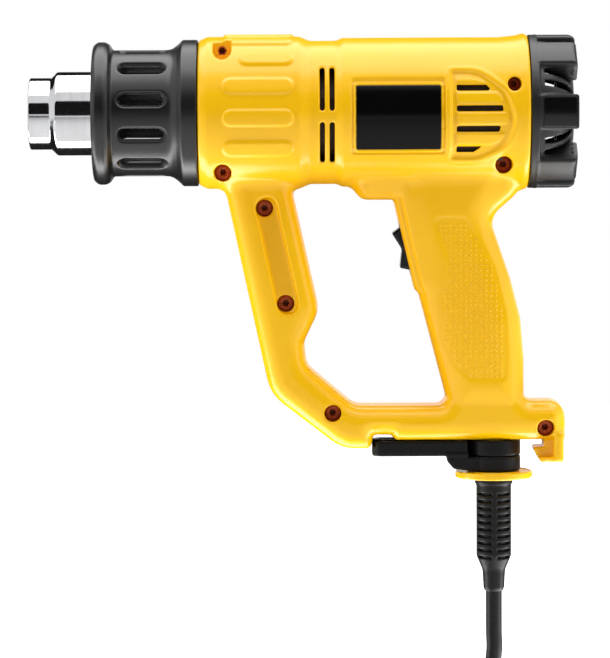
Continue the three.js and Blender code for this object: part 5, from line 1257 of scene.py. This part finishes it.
# %% Rocker and the switch behind it
rocker_outline = Outline([
    (2, -8.4, 0.3), (2, 8.4, 0.3), (0, 10.2, 0.6), (-4.2, 8.3, 0.7), (-1.3, 0, 3),
    (-4.2, -8.3, 0.7), (0, -10.2, 0.6),
], margin=5)
RIB_HEIGHT, RIB_PITCH = 0.16, 1.25


def rocker_field(x, y, z):
    depth, rise = at_switch(x, z)
    wings = (np.abs(rise) > 2.4) & (np.abs(rise) < 7.4) & (np.abs(y) < 4.4) & (depth < 0)
    ribs = RIB_HEIGHT * (1 + np.cos(2 * math.pi * rise / RIB_PITCH)) / 2
    flat = rocker_outline(depth, rise) + np.where(wings, ribs, 0)
    hub = softest(np.hypot(depth - 3.5, rise) - 3.4, np.abs(y) - 5.2, 0.4)
    return joined(softest(flat, np.abs(y) - 5.7, 0.8), hub, 0.6)


rocker = field_piece("rocker", rocker_field, (-38, -6.4, 12.4), (-22.2, 6.4, 36.4), 0.4)
dress(rocker, "rocker", "black_trim", smooth_black, "switch_rocker")


def switch_field(x, y, z):
    depth, rise = at_switch(x, z)
    body = softest(np.maximum(-depth, depth - 16), np.abs(rise) - 12.6, 0.8)
    body = softest(body, np.abs(y) - 7.3, 0.8)
    body = cut(body, overlap(np.abs(rise) - 11.3, np.abs(y) - 5.85, depth - 7.15), 0.4)
    ribs = overlap(np.abs((rise + 20) % 4 - 2) - 0.6, 2 - depth, depth - 14)
    return cut(body, np.maximum(ribs, 7.0 - np.abs(y)), 0.2)


switch = field_piece("switch_housing", switch_field, (-37, -8, 7), (-8.5, 8, 41.6), 0.55)
dress(switch, "casing", "black_trim", black_plastic, "switch_body")

# %% [markdown]
# Under the base two arms fold side by side. Each turns on its own disc, and their outlines
# are drawn from above. The near arm steps down at its root to reach the lower disc.

# %% Support arms
ARM_TOP, ARM_BOTTOM, ARM_Y, LOW_DISC = -65.7, -72.9, 5.4, (-80.3, -73.2)
ARM_DISC, ARM_HOLE, POCKET_ROOF, POCKET_SOFT = 12.5, 8.05, -70.3, 0.4
left_bar = Outline([(-46.1, -0.4, 1.5), (-46.1, -10.4, 7), (-1.45, -10.4, 0.3),
                    (-1.45, -0.4, 0.3)], margin=6)
right_bar = Outline([(-46.1, 0.4, 1.5), (6.7, 0.4, 0), (6.7, 10.4, 0), (-46.1, 10.4, 7)],
                    margin=20)
arm_root = Outline([
    (-11.8, -71.5, 0), (-10.9, -75.6, 1), (-8.0, -79.0, 2.5), (3.55, -80.3, 0),
    (3.55, -73.2, 0), (-1.45, -73.2, 0.3), (-1.45, -71.5, 0),
], margin=6)


def level(flat, z, bottom, top, soft):
    """A level plate with an outline seen from above."""
    return softest(flat, np.maximum(bottom - z, z - top), soft)


def pivot_disc(x, y, z, bottom, top):
    """The disc that an arm turns on."""
    return level(np.hypot(x - EXIT_X, y) - ARM_DISC, z, bottom, top, 0.7)


def arm(body, x, y, z, middle_x, side):
    """An arm with its hole round the spigot and the pocket that lightens it underneath."""
    pocket = rounded_box(x - middle_x, y - side * ARM_Y, 17, 2.9, 1.5)
    body = cut(body, np.maximum(pocket, POCKET_ROOF - z - POCKET_SOFT), POCKET_SOFT)
    return cut(body, np.hypot(x - EXIT_X, y) - ARM_HOLE, 0.3)


def left_arm_field(x, y, z):
    bar = level(left_bar(x, y), z, ARM_BOTTOM, ARM_TOP, 0.9)
    end_pocket = rounded_box(x + 43.6, z + 66.6, 2.2, 1.8, 0.6)
    bar = cut(bar, np.maximum(end_pocket, np.abs(y + ARM_Y) - 3.4), 0.4)
    root = softest(arm_root(x, z), np.abs(y + ARM_Y) - 5, 0.7)
    body = joined(joined(bar, root, 0.8), pivot_disc(x, y, z, *LOW_DISC), 0.5)
    return arm(body, x, y, z, -24, -1)


def right_arm_field(x, y, z):
    bar = level(right_bar(x, y), z, ARM_BOTTOM, ARM_TOP, 0.9)
    disc = pivot_disc(x, y, z, ARM_BOTTOM, ARM_TOP)
    return arm(joined(bar, disc, 0.8), x, y, z, -26, 1)


left_arm = field_piece("near_arm", left_arm_field, (-47, -13.4, -81.2), (24.6, 13.4, -64.8), 0.5)
dress(left_arm, "left_arm", "black_trim", nylon, "left_support_arm")
right_arm = field_piece("far_arm", right_arm_field, (-47, -13.4, -73.8), (24.6, 13.4, -64.8), 0.5)
dress(right_arm, "right_arm", "black_trim", nylon, "right_support_arm")

# %% Spigot and the yellow disc that keeps the arms on
spigot = turned("stand_spigot", [
    (-80.45, 6.4, 0.3), (-60.8, 6.4, 0.3), (-60.8, 9.6, 0.4), (-62.65, 9.6, 0.4),
    (-62.65, 7.9, 0.2), (-80.45, 7.9, 0.3),
], "z", (EXIT_X, 0, 0), sides=64)
dress(spigot, "casing", "casing", casing_plastic, "stand_pivot")
keeper = turned("keeper_disc", [
    (-83.8, 6.4, 0.3), (-80.6, 6.4, 0.3), (-80.6, 13.2, 0), (-81.0, 13.6, 0.2), (-81.0, 16.4, 0.2),
    (-80.6, 16.8, 0.2), (-80.6, 18.1, 0.9), (-83.8, 18.1, 0.9),
], "z", (EXIT_X, 0, 0))
dress(keeper, "casing", "casing", casing_plastic, "retaining_disc")

# %% [markdown]
# The strain relief is one soft moulding: a collar, a body with ten grooves on each side of a
# plain spine so that it bends evenly, and a taper down to the cord.

# %% Strain relief
relief_section = Outline([
    (-65.95, -4, 0), (-65.95, 6, 0), (-84.1, 6, 0), (-84.1, 8.9, 0.5), (-86.3, 8.9, 0.6),
    (-87.4, 8.2, 0.8), (-121.0, 8.2, 2.0), (-127.6, 5.4, 5), (-136.2, 4.9, 0.6),
    (-137.8, 4.2, 0.5), (-137.8, -4, 0),
], margin=6)
GROOVES = [-91.6 - 3.3 * i for i in range(10)]
GROOVE_HALF, GROOVE_FLOOR, SPINE_HALF, SIDE_SPINE_HALF = 0.62, 5.9, 1.35, 1.1


def relief_field(x, y, z):
    away = np.hypot(x - EXIT_X, y)
    body = relief_section(z, away)
    walls = overlap(SPINE_HALF - np.abs(x - EXIT_X), GROOVE_FLOOR - away,
                    SIDE_SPINE_HALF - np.abs(y))
    for place in GROOVES:
        groove = np.abs(z - place) - GROOVE_HALF
        body = cut(body, np.maximum(groove, walls), 0.7)
    return body


relief = field_piece("strain_relief_sleeve", relief_field, (1.8, -9.4, -138.6),
                     (20.6, 9.4, -65.4), 0.42)
dress(relief, "casing", "cord_rubber", rubber, "strain_relief")

# %% [markdown]
# The grip has a patch of small pimples on both sides. They stand on a grid and end short of
# the patch's outline.

# %% Pimples on the grip
PIMPLE_PITCH, PATCH_BORDER = 2.35, 1.6


def skin_at(x, z):
    """How far out the casing's surface lies at a place in the side view, and its slope."""
    y = np.full_like(x, 24.0)
    for _ in range(40):
        y = y - 0.8 * casing_outer(x, y, z)
    place = np.stack([x, y, z])
    slope = np.stack([casing_outer(*(place + way[:, None])) - casing_outer(*(place - way[:, None]))
                      for way in 0.05 * np.eye(3)], 1)
    return y, slope / np.linalg.norm(slope, axis=1)[:, None]


pimple_x, pimple_z = (grid.ravel() for grid in np.meshgrid(np.arange(-19, 19, PIMPLE_PITCH),
                                                           np.arange(-37, 40, PIMPLE_PITCH)))
inside = PATCH(pimple_x, pimple_z) < -PATCH_BORDER
pimple_x, pimple_z = pimple_x[inside], pimple_z[inside]
pimple_y, pimple_way = skin_at(pimple_x, pimple_z)
for side, where in SIDES:
    places = [((px, side * py, pz), way * (1, side, 1))
              for px, py, pz, way in zip(pimple_x, pimple_y, pimple_z, pimple_way)]
    bumps = domes(f"{where}_grip_pimples", places, 0.72, 0.34)
    dress(bumps, "casing", "casing", casing_plastic)
print("pimples on each side:", len(pimple_x))

# %% [markdown]
# The tie is a rubber band, drawn tight round the turns at one place. The plug is a two-pin
# moulding with finger ridges, and its pins are plated, with a sleeved root.

# %% Tie
TIE_TURN, TIE_RADIUS = 0.125, 44
tie_angle = 2 * math.pi * (TIE_TURN + 0.25)
tie_cos, tie_sin = math.cos(tie_angle), math.sin(tie_angle)
tie_middles = [(coil_radius(TIE_TURN + 3), 0), (coil_radius(TIE_TURN), 0),
               (coil_radius(COIL_TURNS - 1 + TIE_TURN), COIL_PITCH),
               (coil_radius(TIE_TURN + 4), COIL_PITCH)]


def tie_field(x, y, z):
    dx, dy = x - COIL_CENTRE[0], y - COIL_CENTRE[1]
    hull = outside(tie_middles, dx * tie_cos + dy * tie_sin, z - COIL_Z)
    across = np.abs(dy * tie_cos - dx * tie_sin)
    return softest(np.maximum(hull - 5.4, 4.6 - hull), across - 3, 0.5)


tie_x = COIL_CENTRE[0] + TIE_RADIUS * tie_cos
tie_y = COIL_CENTRE[1] + TIE_RADIUS * tie_sin
tie = field_piece("cord_band", tie_field, (tie_x - 17, tie_y - 17, -213.8),
                  (tie_x + 17, tie_y + 17, -193.6), 0.5)
dress(tie, "casing", "cord_rubber", rubber, "cord_tie")

# %% Plug
PLUG_X, PLUG_Z, PLUG_REAR, PLUG_FRONT = -142, -199.3, -69.3, -103.3
PLUG_HALF, ROOT_HALF, PIN_X, PIN_RADIUS = 18, 8.5, (-151.5, -132.5), 2.4
RIDGES, RIDGE_PITCH = 5, 3.2
plug_outline = Outline([
    (PLUG_X - ROOT_HALF, PLUG_REAR, 3), (PLUG_X - PLUG_HALF, PLUG_FRONT + 12, 10),
    (PLUG_X - PLUG_HALF, PLUG_FRONT, 3), (PLUG_X + PLUG_HALF, PLUG_FRONT, 3),
    (PLUG_X + PLUG_HALF, PLUG_FRONT + 12, 10), (PLUG_X + ROOT_HALF, PLUG_REAR, 3),
], margin=6)


def plug_field(x, y, z):
    slim = 12.5 - 3.5 * eased(y, PLUG_FRONT + 8, PLUG_REAR - 3)
    body = softest(plug_outline(x, y), np.abs(z - PLUG_Z) - slim, 5)
    for i in range(RIDGES):
        ridge = np.abs(y - (PLUG_REAR - 6 - RIDGE_PITCH * i)) - 0.7
        body = cut(body, np.maximum(ridge, -body - 0.7), 0.6)
    body = cut(body, np.maximum(np.abs(y - (PLUG_FRONT + 2.6)) - 0.3, -body - 0.4), 0.3)
    for pin_x in PIN_X:
        hole = np.hypot(x - pin_x, z - PLUG_Z) - PIN_RADIUS - 0.15
        body = cut(body, np.maximum(hole, y - PLUG_FRONT - 8.1), 0.2)
    return body


plug = field_piece("moulded_plug", plug_field, (-160.8, -104.1, -212.4), (-123.2, -68.5, -186.2),
                   0.6)
dress(plug, "casing", "cord_rubber", rubber, "plug_body")
for i, pin_x in enumerate(PIN_X, 1):
    pin = turned(f"round_pin_{i}", [
        (PLUG_FRONT + 8, 0, 0), (PLUG_FRONT + 8, PIN_RADIUS, 0.2),
        (PLUG_FRONT - 9.6, PIN_RADIUS, 0.05), (PLUG_FRONT - 9.8, 2.25, 0.05),
        (PLUG_FRONT - 19, 2.25, 1.6), (PLUG_FRONT - 19, 0, 0),
    ], "y", (pin_x, 0, PLUG_Z), sides=32)
    dress(pin, "casing", "pins", pin_metal, f"plug_pin_{i}")

# %% [markdown]
# Looking into the outlet one sees the element: a pierced ceramic disc, and behind it a
# resistance wire wound on a vaned former. The wire is a real helix here, so that it glints
# turn by turn.

# %% Element
HOLES, HOLE_RING, HOLE_RADIUS, MIDDLE_HOLE, DISC_RADIUS, DISC_DEPTH = 6, 11, 3.05, 1.6, 17.35, 3


def box_mm(node):
    """The low and high corners of a frame node's box, in millimetres."""
    return [[value / MM for value in corner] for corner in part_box(node)]


for where in ("front", "rear"):
    node = f"heater_{where}_disc"
    front = box_mm(node)[0][0]

    def disc_field(x, y, z):
        across, out = round_the_axis(y, z, HOLES, 0.5)
        radius = from_axis(y, z)
        body = softest(radius - DISC_RADIUS, np.maximum(front - x, x - front - DISC_DEPTH), 0.5)
        body = cut(body, np.hypot(across, out - HOLE_RING) - HOLE_RADIUS, 0.4)
        return cut(body, radius - MIDDLE_HOLE, 0.3)

    disc = axis_piece(f"{where}_ceramic_disc", disc_field, front - 1, front + 4, 18.6, 0.45)
    dress(disc, "casing", "ceramic", ceramic, node)
(coil_front, *_), (coil_rear, *_) = box_mm("heater_coil")
WINDING_TURNS, WINDING_STEPS, WINDING_RADIUS, WIRE_RADIUS = 21, 30, 13.6, 0.72
steps = WINDING_TURNS * WINDING_STEPS
winding = []
for i in range(steps + 1):
    t = 2 * math.pi * i / WINDING_STEPS
    along = coil_front + 0.8 + (coil_rear - coil_front - 1.6) * i / steps
    winding.append(set_on("x", (0, 0, AXIS_Z), along, -WINDING_RADIUS * math.cos(t),
                          WINDING_RADIUS * math.sin(t)))
heater = tube_piece("heater_winding", winding, WIRE_RADIUS, 8)
dress(heater, "casing", "heater_wire", heater_wire, "heater_coil")
(front, *_), (rear, radius, _) = box_mm("mica_sleeve")
SLEEVE_WALL = 0.55
sleeve = turned("mica_liner", [
    (front, radius - SLEEVE_WALL, 0), (rear, radius - SLEEVE_WALL, 0), (rear, radius, 0),
    (front, radius, 0),
], sides=72)
dress(sleeve, "casing", "mica", mica, "mica_sleeve")
print("heater wire turns:", WINDING_TURNS)

# %% [markdown]
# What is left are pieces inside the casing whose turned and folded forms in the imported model
# are right as they are. They keep their meshes, get the finish of what they are made of, and
# a bevel softens their edges.

# %% Inner pieces that keep their form
KEPT = {
    "heater_core": ceramic, "thermal_cutout": zinc, "element_lead_1": red_sleeve,
    "element_lead_2": rubber, "air_duct": dark_mica, "fan_shroud": black_plastic,
    "motor_case": motor_steel, "motor_shaft": zinc, "fan_impeller": smooth_black,
    "motor_mount": black_plastic, "control_board": board, "dial_potentiometer": motor_steel,
    "dial_shaft": zinc, "suppression_capacitor": dial_grey, "rectifier_board": board,
    "terminal_block": ceramic, "mains_lead_1": red_sleeve, "mains_lead_2": rubber,
    "cord_clamp": dial_grey, "inner_cord": rubber,
}
SOFT_EDGE = 0.0003
for name, material in KEPT.items():
    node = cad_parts[name]
    for slot in node.material_slots:
        slot.material = material
    if not node.material_slots:
        node.data.materials.append(material)
    if "lead" not in name and "cord" not in name:
        edges = node.modifiers.new("soft_edges", "BEVEL")
        edges.width = SOFT_EDGE
        edges.segments = 2
        edges.limit_method = "ANGLE"
        edges.angle_limit = math.radians(40)
print("inner pieces kept:", len(KEPT))

# %% [markdown]
# Last, the cord rides on the casing's body with its rubber finish, and the imported model's cord
# pieces are hidden.

# %% The cord's body and finish
dress(cord, "casing", "cord_rubber", rubber, "power_cord", "cord_coil", "cord_tail")
